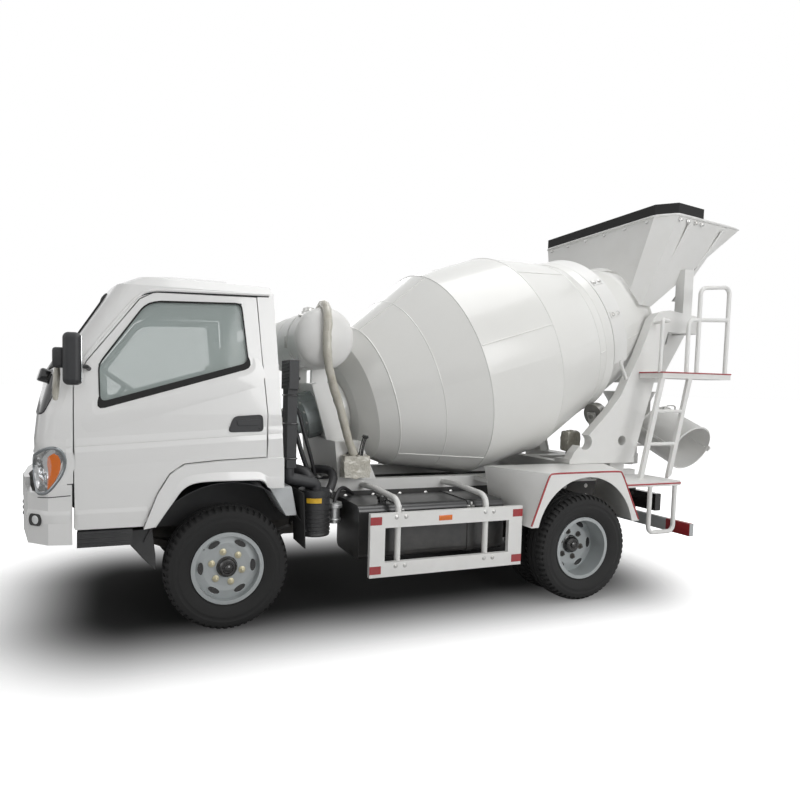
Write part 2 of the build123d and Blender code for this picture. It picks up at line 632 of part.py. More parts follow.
def make_chute(nodes):
    x = rear(chute_x)
    trough = half_pipe(-260, chute_reach, 1)
    round_head = Pos(x, 0, 1350) * Cylinder(chute_radius, 700)
    downstream = box(x - 400, x + 400, 0, 1200, 600, 1700)
    trough = trough & (round_head + downstream)
    hood = Pos(x, 0, 0) * turned([(chute_radius - chute_wall, 1000), (chute_radius, 1000),
                                  (chute_radius, hood_flare_z),
                                  (chute_head_radius, chute_head_top),
                                  (chute_head_radius - chute_wall, chute_head_top),
                                  (chute_radius - chute_wall, hood_flare_z)])
    above = chute_place() * (Pos(0, -1000, 0) * Box(2000, 2000, 3000) + Cylinder(chute_radius, 3000))
    hood = (hood & above) - box(x - 400, x + 400, 60, 600, 900, 1700)
    ear_x = chute_radius + 6
    ears = [box(x + s * ear_x - 10, x + s * ear_x + 10, -40, 40, chute_hinge_z - 45, chute_hinge_z + 45)
            for s in (1, -1)]
    pin_line = rod((x - 300, 0, chute_hinge_z), (x + 300, 0, chute_hinge_z), chute_pin_radius + bearing_gap)
    inside = chute_place() * Cylinder(chute_radius - chute_wall, 3000)
    body = merged([trough, hood] + [ear - inside for ear in ears]) - pin_line
    inside_line = chute_radius - chute_wall + 1
    lug_x0, lug_x1 = chute_radius + 0.5, chute_radius + 9.5
    hinge = chute_place(chute_reach + fold_gap)
    hinge_line = Pos(0, -fold_gap / 2, 0) * Rot(0, 90, 0)
    lugs = []
    for s in (1, -1):
        plate = Pos(s * (lug_x0 + lug_x1) / 2, 11, -11) * Box(lug_x1 - lug_x0, 28, 40)
        root = Pos(s * (inside_line + lug_x1) / 2, 13, -18) * Box(lug_x1 - inside_line, 24, 26)
        eye = Pos(s * (lug_x0 + lug_x1) / 2, 0, 0) * (hinge_line * Cylinder(12, lug_x1 - lug_x0))
        pin = Pos(s * (lug_x0 + 11), 0, 0) * (hinge_line * Cylinder(fold_pin, 22))
        lugs.append(hinge * merged([plate, root, eye, pin]) - inside)
    nodes["chute"] = [merged([body] + lugs)]

    lift = (chute_place() * Plane.XY).y_dir * -fold_gap
    raised = Pos(lift.X, lift.Y, lift.Z)
    lid = raised * half_pipe(chute_reach - extension_length, chute_reach, -1)
    arms = []
    for s in (1, -1):
        plate = Pos(s * (lug_x1 + 5.5), -fold_gap / 2 - 6, -26) * Box(8, 20, 60)
        eye = Pos(s * (lug_x1 + 5.5), 0, 0) * (hinge_line * Cylinder(12, 8))
        foot = (Pos(s * (inside_line + lug_x1 + 9.5) / 2, -fold_gap / 2 - 22, -46)
                * Box(lug_x1 + 9.5 - inside_line, 32, 20))
        arms.append(hinge * merged([plate, eye, foot]) - raised * inside)
    pin_hole = hinge * (hinge_line * Cylinder(fold_pin + bearing_gap, 600))
    nodes["chute_extension"] = [merged([lid] + arms) - pin_hole]

    cheek_x = ear_x + 10 + 4 + 12
    post = Pos(x, 0, 940) * Cylinder(chute_post_radius, 200)
    plate = box(x - cheek_x - 12, x + cheek_x + 12, -60, 60, 1016, 1036)
    cheeks = [box(x + s * cheek_x - 12, x + s * cheek_x + 12, -45, 45, 1016, chute_hinge_z + 40)
              for s in (1, -1)]
    pins = [rod((x + s * (ear_x - 9), 0, chute_hinge_z), (x + s * cheek_x, 0, chute_hinge_z),
                chute_pin_radius)
            for s in (1, -1)]
    nodes["chute_pivot"] = [merged([post, plate] + cheeks + pins)]


# ---- cab ----------------------------------------------------------------------------
# one row per level: height, front at the middle, rear, half width, bow of the front, corner radius
CAB_LEVELS = [
    (684, 1090, -345, 800, 60, 100),
    (960, 1135, -333, 818, 65, 105),
    (1180, 1140, -321, 820, 65, 110),
    (1340, 1125, -311, 816, 70, 115),
    (1560, 1078, -298, 800, 80, 130),
    (2080, 728, -266, 742, 75, 90),
    (2135, 600, -245, 700, 62, 90),
    (2158, 480, -210, 620, 55, 90),
    (2175, 290, -130, 500, 50, 90),
]
# outlines (x, z) seen from the side, measured from the front axle
FLARE = [(500, 690), (423, 888), (356, 998), (274, 1053), (77, 1070), (-219, 1083)]
DOOR = [(866, 690)] + FLARE + [(-222, 1338), (-187, 1689), (-158, 2052), (440, 2040), (520, 1997),
                               (800, 1634),
                               (868, 1502)]
WINDOW = [(735, 1400), (-106, 1648), (-66, 2010), (440, 1990), (500, 1960), (742, 1618)]
ARCH = [(445, 600), (443, 690), (355, 814), (273, 917), (175, 950), (-198, 950), (-237, 891), (-400, 887),
        (-400, 600)]
HEADLIGHT = [(905, 1126), (960, 1150), (1200, 1110), (1200, 905), (1010, 898)]


def cab_section(z, x_front, x_rear, half, bow, corner, inset):
    x_front, x_rear, half = front(x_front - inset), front(x_rear + inset), half - inset
    x_corner = x_front - bow
    x_side = x_corner - corner
    bend = corner * (1 - math.sqrt(0.5))
    return make_face([
        Line((x_rear, -half, z), (x_side, -half, z)),
        ThreePointArc((x_side, -half, z), (x_corner - bend, -half + bend, z), (x_corner, -half + corner, z)),
        ThreePointArc((x_corner, -half + corner, z), (x_front, 0, z), (x_corner, half - corner, z)),
        ThreePointArc((x_corner, half - corner, z), (x_corner - bend, half - bend, z), (x_side, half, z)),
        Line((x_side, half, z), (x_rear, half, z)), Line((x_rear, half, z), (x_rear, -half, z))])


def cab_body(inset):
    """The cab's outer shape, drawn in by an inset; its roof levels also come down by it."""
    return loft([cab_section(z - (inset if z > roof_edge_z else 0), *rest, inset)
                 for z, *rest in CAB_LEVELS], ruled=True)


def grown(outline, gap):
    """The outline moved outward by a gap, corner by corner."""
    count = len(outline)
    area = sum(outline[i - 1][0] * outline[i][1] - outline[i][0] * outline[i - 1][1] for i in range(count))
    sign = math.copysign(1, area)
    result = []
    for i in range(count):
        (ax, az), (bx, bz), (cx, cz) = outline[i - 1], outline[i], outline[(i + 1) % count]
        ua, ub = Vector(bx - ax, 0, bz - az).normalized(), Vector(cx - bx, 0, cz - bz).normalized()
        na, nb = Vector(ua.Z, 0, -ua.X) * sign, Vector(ub.Z, 0, -ub.X) * sign
        mid = (na + nb).normalized()
        reach = gap / max(mid.dot(na), 0.4)
        result.append((bx + mid.X * reach, bz + mid.Z * reach))
    return result


def cab_cut(outline, side):
    """A cutter through one side wall of the cab, from an outline measured from the front axle."""
    y0, y1 = (300, 1100) if side > 0 else (-1100, -300)
    return side_plate([(front(x), z) for x, z in outline], y0, y1)


def make_cab(nodes):
    outer, skin, inner, deep = [cab_body(inset) for inset in (0, door_skin, cab_panel, door_depth)]
    pane_layer = cab_body(pane_inset) - cab_body(pane_inset + glass_thickness)
    shell = outer - inner
    lamp_layer = cab_body(-4) - cab_body(30)
    lamps, lamp_zones = [], []
    for side, name in ((1, "left"), (-1, "right")):
        shell = shell - cab_cut(grown(DOOR, door_gap), side) - cab_cut(ARCH, side)
        frame = (((outer - deep) & cab_cut(grown(DOOR, -door_step), side))
                 + ((outer - skin) & cab_cut(DOOR, side)))
        door = frame - cab_cut(WINDOW, side)
        nodes["door_" + name] = [largest(door)]
        nodes["door_glass_" + name] = [largest(pane_layer & cab_cut(WINDOW, side))]
        y0, y1 = (480, 900) if side > 0 else (-900, -480)
        lamp_zone = side_plate([(front(x), z) for x, z in HEADLIGHT], y0, y1)
        lamps.append(largest(lamp_layer & lamp_zone))
        lamp_zones.append(lamp_zone)
        shell = shell - lamp_zone
        lip_y = (780, 842) if side > 0 else (-842, -780)
        edge = ([(x, z - door_gap - 2) for x, z in FLARE] + [(-325, 1075), (-328, 891), (-237, 891)]
                + ARCH[5:0:-1])
        shell = shell + side_plate([(front(x), z) for x, z in edge], *lip_y)
    nodes["headlights"] = lamps

    # (y, z) outlines of the windscreen and the rear window
    screen = make_face(Polyline(*[(front(300), y, z) for y, z in
                                  ((-640, 1600), (640, 1600), (560, 2040), (-560, 2040))], close=True))
    back = make_face(Polyline(*[(front(-100), y, z) for y, z in
                                ((-560, 1480), (560, 1480), (540, 1960), (-540, 1960))], close=True))
    cuts = [extrude(screen, amount=900, dir=(1, 0, 0)), extrude(back, amount=400, dir=(-1, 0, 0))]
    nodes["cab_glass"] = [largest(pane_layer & cut) for cut in cuts]
    under = [box(front(-400), front(foot_floor_back), -770, 770, 600, seat_floor_z),
             box(front(foot_floor_back), front(1400), -770, 770, 600, foot_floor_z),
             box(front(860), front(1400), -1000, 1000, 600, bumper_top + 5)]
    nodes["cab_shell"] = [largest(shell - cuts - under)]

    t = floor_thickness
    toe_x, toe_z = 1045, bumper_top + 5
    floor = [(front(850), foot_floor_z), (front(foot_floor_back), foot_floor_z),
             (front(foot_floor_back), seat_floor_z),
             (front(-330), seat_floor_z), (front(-330), seat_floor_z + t),
             (front(foot_floor_back + t), seat_floor_z + t),
             (front(foot_floor_back + t), foot_floor_z + t), (front(840), foot_floor_z + t),
             (front(toe_x - 10), toe_z + t),
             (front(toe_x + 60), toe_z + t), (front(toe_x + 60), toe_z), (front(toe_x), toe_z)]
    beside = [(outer - cab_body(door_depth + door_gap)) & cab_cut(grown(DOOR, door_gap), side)
              for side in (1, -1)]
    floor_plate = largest((side_plate(floor, -790, 790) & inner) - beside)
    hinge_arms = [box(front(cab_pivot_x - 22), front(cab_pivot_x + 12), s * 300 - 10, s * 300 + 10,
                      cab_pivot_z - 25,
                      foot_floor_z + 2) for s in (1, -1)]
    pin_hole = rod((front(cab_pivot_x), -500, cab_pivot_z), (front(cab_pivot_x), 500, cab_pivot_z),
                   cab_pin_radius + bearing_gap)
    nodes["cab_floor"] = [merged([floor_plate] + hinge_arms) - pin_hole]

    # (x, y) of the bumper's outer face from the left end to the right end, then of its inner face
    half_plan = [(878, 832), (1000, 812), (1115, 712), (1188, 350)]
    half_inner = [(878, 812), (982, 792), (1092, 692), (1160, 340)]
    plan = half_plan + [(front_overhang, 0)] + [(x, -y) for x, y in reversed(half_plan)]
    plan += half_inner_mirrored(half_inner)
    bumper = plan_plate([(front(x), y) for x, y in plan], bumper_bottom, bumper_top)
    brackets = [box(front(900), front(1112), s * 450 - 30, s * 450 + 30, 815, 850) for s in (1, -1)]
    nodes["bumper"] = [merged([bumper] + brackets) - floor_plate - lamp_zones]


def half_inner_mirrored(points):
    """The inner outline walked back from the right end to the left end."""
    return [(x, -y) for x, y in points] + [(x, y) for x, y in reversed(points)]


def make_cab_fittings(nodes):
    skin = cab_body(-2) - cab_body(10)
    nodes["cowl_panel"] = [largest(skin & box(front(700), front(1300), -650, 650, 1450, 1585)),
                           largest(skin & box(front(700), front(1300), -420, 420, 1020, 1110))]
    shell = merged(nodes["cab_shell"])
    nodes["cab_shell"] = [largest(shell - nodes["cowl_panel"])]

    sill = [box(front(560), front(856), 745, 812, 590, 680),
            box(front(560), front(856), 725, 748, 590, foot_floor_z)]
    nodes["sills"] = list(both_sides(merged(sill)))

    mirror_arm = tube([(front(790), 790, 1590), (front(800), 860, 1600), (front(850), 930, 1600)], 12, 20)
    housing = fillet(box(front(815), front(905), 905, 1060, 1500, 1770).edges(), 30)
    left = merged([mirror_arm, housing]) - merged(nodes["door_left"])
    nodes["mirror_left"] = [largest(left)]
    nodes["mirror_right"] = [mirror(largest(left), about=Plane.XZ)]

    wheel_x, wheel_y, wheel_z, rake = front(600), 380, 1500, 55
    place = Location((wheel_x, wheel_y, wheel_z), (0, -rake + 20, 0))
    ring = Torus(190, 14) + Cylinder(50, 30) + [Rot(0, 0, a) * Pos(95, 0, -4) * Box(190, 24, 12)
                                                for a in (0, 120, 240)]
    shaft = Pos(0, 0, -70) * Cylinder(14, 130)
    nodes["steering_wheel"] = [place * (ring + shaft)]
    column = place * (Pos(0, 0, -135.3 - 165) * Cylinder(32, 330))
    dash = side_plate([(front(760), 1180), (front(740), 1400), (front(800), 1470), (front(1000), 1470),
                       (front(1080), 1300),
                       (front(1080), 1180)], -700, 700) & cab_body(cab_panel)
    foot = box(front(800), front(1000), -30, 30, foot_floor_z, 1190) & cab_body(cab_panel)
    foot = max((foot - nodes["cab_floor"][0]).solids(), key=lambda solid: solid.center().Z)
    nodes["dashboard"] = [merged([largest(dash), column & cab_body(cab_panel), foot])]

    seats = []
    seat_z = seat_floor_z + floor_thickness + bearing_gap
    for y, width in ((380, 520), (-60, 300), (-480, 480)):
        cushion = fillet(box(front(-150), front(360), y - width / 2, y + width / 2,
                             seat_z, seat_z + 170).edges(), 30)
        back = side_plate([(front(-150), seat_z + 100), (front(-30), seat_z + 100),
                           (front(-110), seat_z + 640),
                           (front(-210), seat_z + 640)], y - width / 2, y + width / 2)
        head = box(front(-215), front(-125), y - 110, y + 110, seat_z + 635, seat_z + 800)
        seats.append(merged([cushion, back, head]))
    nodes["seats"] = seats


def main():
    nodes = {}
    for make in (make_wheels, make_chassis, make_steering, make_side_units, make_guards, make_rear_end,
                 make_drum,
                 make_front_support, make_rear_support, make_hopper, make_access, make_chute, make_cab,
                 make_cab_fittings):
        make(nodes)
        print(make.__name__, flush=True)
    os.makedirs("parts", exist_ok=True)
    for name, solids in nodes.items():
        export_step(Compound(children=[Part(s.wrapped) if not isinstance(s, (Part, Solid)) else s
                                       for s in solids]),
                    "parts/" + name + ".step")


if __name__ == "__main__":
    main()
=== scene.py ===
import math

import bmesh
import bpy
from mathutils import Matrix, Vector, noise


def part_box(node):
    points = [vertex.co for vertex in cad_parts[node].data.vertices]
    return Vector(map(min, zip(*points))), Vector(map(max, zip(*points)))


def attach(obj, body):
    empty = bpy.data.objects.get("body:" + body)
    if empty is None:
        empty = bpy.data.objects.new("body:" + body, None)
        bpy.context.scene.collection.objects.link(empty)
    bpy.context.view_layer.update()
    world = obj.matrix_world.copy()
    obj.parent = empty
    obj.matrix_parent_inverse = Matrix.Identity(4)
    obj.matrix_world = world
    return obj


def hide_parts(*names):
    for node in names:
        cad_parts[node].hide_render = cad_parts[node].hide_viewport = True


bl_info = {
    "name": "Concrete Mixer Truck",
    "version": (1, 0, 0),
    "blender": (4, 5, 0),
    "location": "View3D > Sidebar > Mixer",
    "description": "Models the fittings, trim and finishes of a small concrete mixer truck",
    "category": "Add Mesh",
}

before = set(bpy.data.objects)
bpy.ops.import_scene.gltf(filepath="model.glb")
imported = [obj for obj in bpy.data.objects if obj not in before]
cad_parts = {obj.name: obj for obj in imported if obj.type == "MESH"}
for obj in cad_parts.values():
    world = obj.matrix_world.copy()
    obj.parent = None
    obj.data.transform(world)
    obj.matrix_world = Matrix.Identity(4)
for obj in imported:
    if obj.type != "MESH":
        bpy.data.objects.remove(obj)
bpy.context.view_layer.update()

# anchors along the truck, in metres
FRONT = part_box("front_axle")[0].x + 0.045
REAR = (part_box("tyres_rear_left")[0].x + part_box("tyres_rear_left")[1].x) / 2
AXLE_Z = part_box("tyre_front_left")[1].z / 2
TILT = math.radians(16.65)
HOOP_ALONG = 2.19
DRUM_START = Vector((REAR + 1.541, 0, 1.378))
DRUM_AXIS = Vector((-math.cos(TILT), 0, math.sin(TILT)))
DRUM_UP = Vector((math.sin(TILT), 0, math.cos(TILT)))
X, Y, Z = Vector((1, 0, 0)), Vector((0, 1, 0)), Vector((0, 0, 1))
SIDES = ((1, "left"), (-1, "right"))


# ---- modelling helpers --------------------------------------------------------------
def clear_selection():
    if bpy.context.object and bpy.context.object.mode != "OBJECT":
        bpy.ops.object.mode_set(mode="OBJECT")
    bpy.ops.object.select_all(action="DESELECT")


def choose(*objects):
    clear_selection()
    for obj in objects:
        obj.select_set(True)
    bpy.context.view_layer.objects.active = objects[0]


def edit(obj, element="VERT"):
    choose(obj)
    bpy.ops.object.mode_set(mode="EDIT")
    bpy.ops.mesh.select_mode(type=element)
    bpy.ops.mesh.select_all(action="SELECT")


def leave():
    bpy.ops.object.mode_set(mode="OBJECT")


def pick_faces(obj, test):
    """Selects, in edit mode, the faces whose centre and normal pass a test."""
    bpy.ops.mesh.select_mode(type="FACE")
    bpy.ops.mesh.select_all(action="DESELECT")
    mesh = bmesh.from_edit_mesh(obj.data)
    for face in mesh.faces:
        face.select = bool(test(face.calc_center_median(), face.normal))
    mesh.select_flush_mode()
    bmesh.update_edit_mesh(obj.data)


def turned_to(axis):
    return Z.rotation_difference(Vector(axis)).to_euler()


def rounded(obj, offset, segments=2):
    """Bevels every edge of a piece."""
    edit(obj)
    bpy.ops.mesh.bevel(offset=offset, segments=segments, affect="EDGES", clamp_overlap=True)
    leave()
    return obj


def block(size, centre, turn=(0, 0, 0), bevel=0.004):
    clear_selection()
    bpy.ops.mesh.primitive_cube_add(size=1, location=centre, rotation=turn)
    obj = bpy.context.object
    obj.scale = size
    bpy.ops.object.transform_apply(location=True, rotation=True, scale=True)
    return rounded(obj, min(bevel, min(size) * 0.4)) if bevel else obj


def soft_block(size, centre, radius, segments=3, turn=(0, 0, 0)):
    return rounded(block(size, centre, turn, 0), radius, segments)


def rod(start, end, radius, sides=16, bevel=0.15):
    start, end = Vector(start), Vector(end)
    clear_selection()
    bpy.ops.mesh.primitive_cylinder_add(vertices=sides, radius=radius, depth=(end - start).length,
                                        location=(start + end) / 2, rotation=turned_to(end - start))
    obj = bpy.context.object
    bpy.ops.object.transform_apply(location=True, rotation=True, scale=True)
    along = (end - start).normalized()
    edit(obj)
    pick_faces(obj, lambda centre, normal: abs(normal.dot(along)) > 0.9)
    bpy.ops.mesh.bevel(offset=radius * bevel, segments=2, affect="EDGES")
    leave()
    return obj


def outline(points, filled=True):
    """A flat face, or an open line, through the points."""
    clear_selection()
    bpy.ops.mesh.primitive_circle_add(vertices=len(points), fill_type="NGON" if filled else "NOTHING")
    obj = bpy.context.object
    for vertex, point in zip(obj.data.vertices, points):
        vertex.co = point
    return obj


def plate(points, thickness, bevel=0.0):
    """A flat piece: an outline extruded along a vector."""
    obj = outline(points)
    edit(obj)
    bpy.ops.mesh.extrude_region_move(TRANSFORM_OT_translate={"value": Vector(thickness)})
    bpy.ops.mesh.select_all(action="SELECT")
    bpy.ops.mesh.normals_make_consistent(inside=False)
    leave()
    return rounded(obj, bevel, 1) if bevel else obj


def surround(points, width, thickness, bevel=0.0):
    """A frame of one width inside an outline, extruded along a vector."""
    obj = outline(points)
    edit(obj, "FACE")
    bpy.ops.mesh.inset(thickness=width)
    bpy.ops.mesh.delete(type="FACE")
    bpy.ops.mesh.select_all(action="SELECT")
    bpy.ops.mesh.extrude_region_move(TRANSFORM_OT_translate={"value": Vector(thickness)})
    bpy.ops.mesh.select_all(action="SELECT")
    bpy.ops.mesh.normals_make_consistent(inside=False)
    leave()
    return rounded(obj, bevel, 1) if bevel else obj


def lathe(profile, centre, axis, steps=48, looped=False):
    """A piece turned about an axis, from its (radius, place along the axis) profile."""
    axis, centre = Vector(axis).normalized(), Vector(centre)
    side = axis.orthogonal().normalized()
    obj = outline([centre + axis * a + side * r for r, a in profile], filled=False)
    edit(obj)
    if not looped:
        bpy.ops.mesh.select_mode(type="EDGE")
        bpy.ops.mesh.select_all(action="DESELECT")
        mesh = bmesh.from_edit_mesh(obj.data)
        mesh.verts.ensure_lookup_table()
        last = mesh.edges.get((mesh.verts[0], mesh.verts[-1]))
        last.select = True
        bmesh.update_edit_mesh(obj.data)
        bpy.ops.mesh.delete(type="EDGE")
        bpy.ops.mesh.select_mode(type="VERT")
    bpy.ops.mesh.select_all(action="SELECT")
    bpy.ops.mesh.spin(steps=steps, angle=math.tau, center=centre, axis=axis)
    bpy.ops.mesh.select_all(action="SELECT")
    bpy.ops.mesh.remove_doubles(threshold=0.0002)
    bpy.ops.mesh.normals_make_consistent(inside=False)
    leave()
    return obj


def pipe(points, radius, sides=10, order=3):
    """A bent pipe or hose along a smooth curve whose control points are given."""
    clear_selection()
    bpy.ops.curve.primitive_nurbs_path_add()
    obj = bpy.context.object
    curve = obj.data
    curve.splines.clear()
    spline = curve.splines.new("NURBS")
    spline.points.add(len(points) - 1)
    for place, point in zip(spline.points, points):
        place.co = (*point, 1)
    spline.order_u = min(order, len(points))
    spline.use_endpoint_u = True
    spline.resolution_u = 6
    curve.bevel_depth, curve.bevel_resolution, curve.use_fill_caps = radius, sides // 2 - 2, True
    obj.location = (0, 0, 0)
    bpy.ops.object.convert(target="MESH")
    return bpy.context.object


def joined(*parts):
    choose(*parts)
    bpy.ops.object.join()
    return bpy.context.object


def copied(obj, places):
    """Copies a modelled piece to each place and joins the copies into one."""
    made = []
    for place in places:
        copy = bpy.data.objects.new(obj.name, obj.data.copy())
        bpy.context.collection.objects.link(copy)
        copy.data.transform(place)
        if place.determinant() < 0:
            copy.data.flip_normals()
        made.append(copy)
    bpy.data.objects.remove(obj)
    return joined(*made)


def ring_places(centre, axis, radius, count, start=0.0):
    """Places round a circle for a piece modelled at the origin, standing along Z."""
    axis = Vector(axis).normalized()
    side = axis.orthogonal().normalized()
    stand = Z.rotation_difference(axis).to_matrix().to_4x4()
    places = []
    for i in range(count):
        turn = Matrix.Rotation(start + math.tau * i / count, 3, axis)
        places.append(Matrix.Translation(Vector(centre) + turn @ side * radius) @ stand)
    return places


def hex_bolt(size):
    """A bolt head on its washer, standing on the origin along Z."""
    head = rod((0, 0, 0), (0, 0, size * 0.7), size, 6, 0.12)
    return joined(head, rod((0, 0, 0), (0, 0, size * 0.16), size * 1.35, 14, 0.04))


def bolts(size, places):
    return copied(hex_bolt(size), places)


def standing(point, axis):
    """The place of a piece modelled at the origin along Z, stood on a point along an axis."""
    return Matrix.Translation(Vector(point)) @ Z.rotation_difference(Vector(axis)).to_matrix().to_4x4()


def stood(points, axis):
    return [standing(point, axis) for point in points]


def both(obj):
    """Adds a piece's mirror image across the truck's middle plane."""
    return copied(obj, [Matrix.Identity(4), Matrix.Scale(-1, 4, Y)])


def settle(obj, name, material, body="chassis", slot=None, stands_for=(), smooth=32):
    """Names a finished piece, puts its place in its mesh and ties it to its body."""
    choose(obj)
    bpy.ops.object.transform_apply(location=True, rotation=True, scale=True)
    bpy.ops.object.shade_smooth_by_angle(angle=math.radians(smooth))
    obj.name = obj.data.name = name
    obj.data.materials.clear()
    obj.data.materials.append(finish(material))
    slot = slot or next(usual for usual, finishes in SLOTS.items() if material in finishes.split())
    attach(obj, body)
    if stands_for:
        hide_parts(*stands_for)
    return obj


# ---- shared shader groups -----------------------------------------------------------
def new_group(name, inputs, outputs):
    tree = bpy.data.node_groups.new(name, "ShaderNodeTree")
    for title, kind, value in inputs:
        socket = tree.interface.new_socket(title, in_out="INPUT", socket_type=kind)
        socket.default_value = value
    for title, kind in outputs:
        tree.interface.new_socket(title, in_out="OUTPUT", socket_type=kind)
    return tree, tree.nodes.new("NodeGroupInput"), tree.nodes.new("NodeGroupOutput")


def add_node(tree, kind, links=(), **values):
    """A node with its settings, and its inputs linked or set by name or number."""
    node = tree.nodes.new(kind)
    for key, value in values.items():
        setattr(node, key, value)
    for key, value in dict(links).items():
        if isinstance(value, bpy.types.NodeSocket):
            tree.links.new(value, node.inputs[key])
        else:
            node.inputs[key].default_value = value
    return node


def maths(tree, operation, *values, clamp=False):
    return add_node(tree, "ShaderNodeMath", dict(enumerate(values)), operation=operation,
                    use_clamp=clamp).outputs[0]


def vector_maths(tree, operation, *values):
    return add_node(tree, "ShaderNodeVectorMath", dict(enumerate(values)), operation=operation).outputs[0]


def ranged(tree, value, low, high, to_low=0.0, to_high=1.0, way="LINEAR"):
    """A value carried from one range to another and held inside it."""
    return add_node(tree, "ShaderNodeMapRange", {0: value, 1: low, 2: high, 3: to_low, 4: to_high},
                    interpolation_type=way).outputs[0]


def blended(tree, share, first, second):
    return add_node(tree, "ShaderNodeMix", {0: share, 6: first, 7: second}, data_type="RGBA").outputs[2]


def object_place(tree):
    return add_node(tree, "ShaderNodeTexCoord").outputs["Object"]


def noisy(tree, place, scale, detail, roughness=0.5):
    return add_node(tree, "ShaderNodeTexNoise",
                    {"Vector": place, "Scale": scale, "Detail": detail,
                     "Roughness": roughness}).outputs["Fac"]


def surface_group():
    """Blotches, settled dust, uneven gloss and a fine grain, over any base colour."""
    if "Worked Surface" in bpy.data.node_groups:
        return bpy.data.node_groups["Worked Surface"]
    colour, value = "NodeSocketColor", "NodeSocketFloat"
    tree, given, out = new_group("Worked Surface",
                                 [("Color", colour, (0.8, 0.8, 0.8, 1)),
                                  ("Stain Color", colour, (0.5, 0.48, 0.44, 1)),
                                  ("Stain Amount", value, 0.2), ("Stain Scale", value, 3.0),
                                  ("Roughness", value, 0.4), ("Roughness Spread", value, 0.1),
                                  ("Grain Scale", value, 300.0), ("Grain Depth", value, 0.0002),
                                  ("Dust Amount", value, 0.1), ("Dust Height", value, 0.9)],
                                 [("Color", colour), ("Roughness", value), ("Normal", "NodeSocketVector")])
    given = given.outputs
    place = object_place(tree)
    blotch = noisy(tree, place, given["Stain Scale"], 6.0, 0.6)
    amount = maths(tree, "MULTIPLY", ranged(tree, blotch, 0.42, 0.72), given["Stain Amount"])
    stained = blended(tree, amount, given["Color"], given["Stain Color"])
    height = add_node(tree, "ShaderNodeSeparateXYZ", {0: place}).outputs["Z"]
    low = ranged(tree, height, given["Dust Height"], 0.0)
    patch = ranged(tree, noisy(tree, place, 9.0, 8.0, 0.7), 0.35, 0.75, 0.25)
    dust = maths(tree, "MULTIPLY", maths(tree, "MULTIPLY", low, patch), given["Dust Amount"])
    dusty = blended(tree, dust, stained, (0.36, 0.33, 0.28, 1))
    shift = maths(tree, "SUBTRACT", blotch, 0.5)
    shift = maths(tree, "MULTIPLY_ADD", shift, given["Roughness Spread"], given["Roughness"])
    rough = maths(tree, "MULTIPLY_ADD", dust, 0.5, shift, clamp=True)
    grain = noisy(tree, place, given["Grain Scale"], 3.0)
    bump = add_node(tree, "ShaderNodeBump",
                    {"Height": grain, "Distance": given["Grain Depth"], "Strength": 1.0})
    for title, value in (("Color", dusty), ("Roughness", rough), ("Normal", bump.outputs[0])):
        tree.links.new(value, out.inputs[title])
    return tree


def weave_group():
    """A plain weave of two crossing threads, with painted shade in the low places between them."""
    if "Plain Weave" in bpy.data.node_groups:
        return bpy.data.node_groups["Plain Weave"]
    tree, given, out = new_group("Plain Weave",
                                 [("Color", "NodeSocketColor", (0.6, 0.58, 0.54, 1)),
                                  ("Shade", "NodeSocketColor", (0.4, 0.38, 0.35, 1)),
                                  ("Scale", "NodeSocketFloat", 90.0), ("Depth", "NodeSocketFloat", 0.0006)],
                                 [("Color", "NodeSocketColor"), ("Normal", "NodeSocketVector")])
    given, place = given.outputs, object_place(tree)
    waves = [add_node(tree, "ShaderNodeTexWave",
                      {"Vector": place, "Scale": given["Scale"], "Distortion": 0.6},
                      bands_direction=way).outputs["Fac"] for way in "XYZ"]
    cloth = maths(tree, "MAXIMUM", maths(tree, "MULTIPLY", waves[0], waves[2]), waves[1])
    bump = add_node(tree, "ShaderNodeBump", {"Height": cloth, "Distance": given["Depth"]})
    # the weave's low places take the darker Shade colour: painted shade in its hollows
    tree.links.new(blended(tree, cloth, given["Shade"], given["Color"]), out.inputs["Color"])
    tree.links.new(bump.outputs[0], out.inputs["Normal"])
    return tree


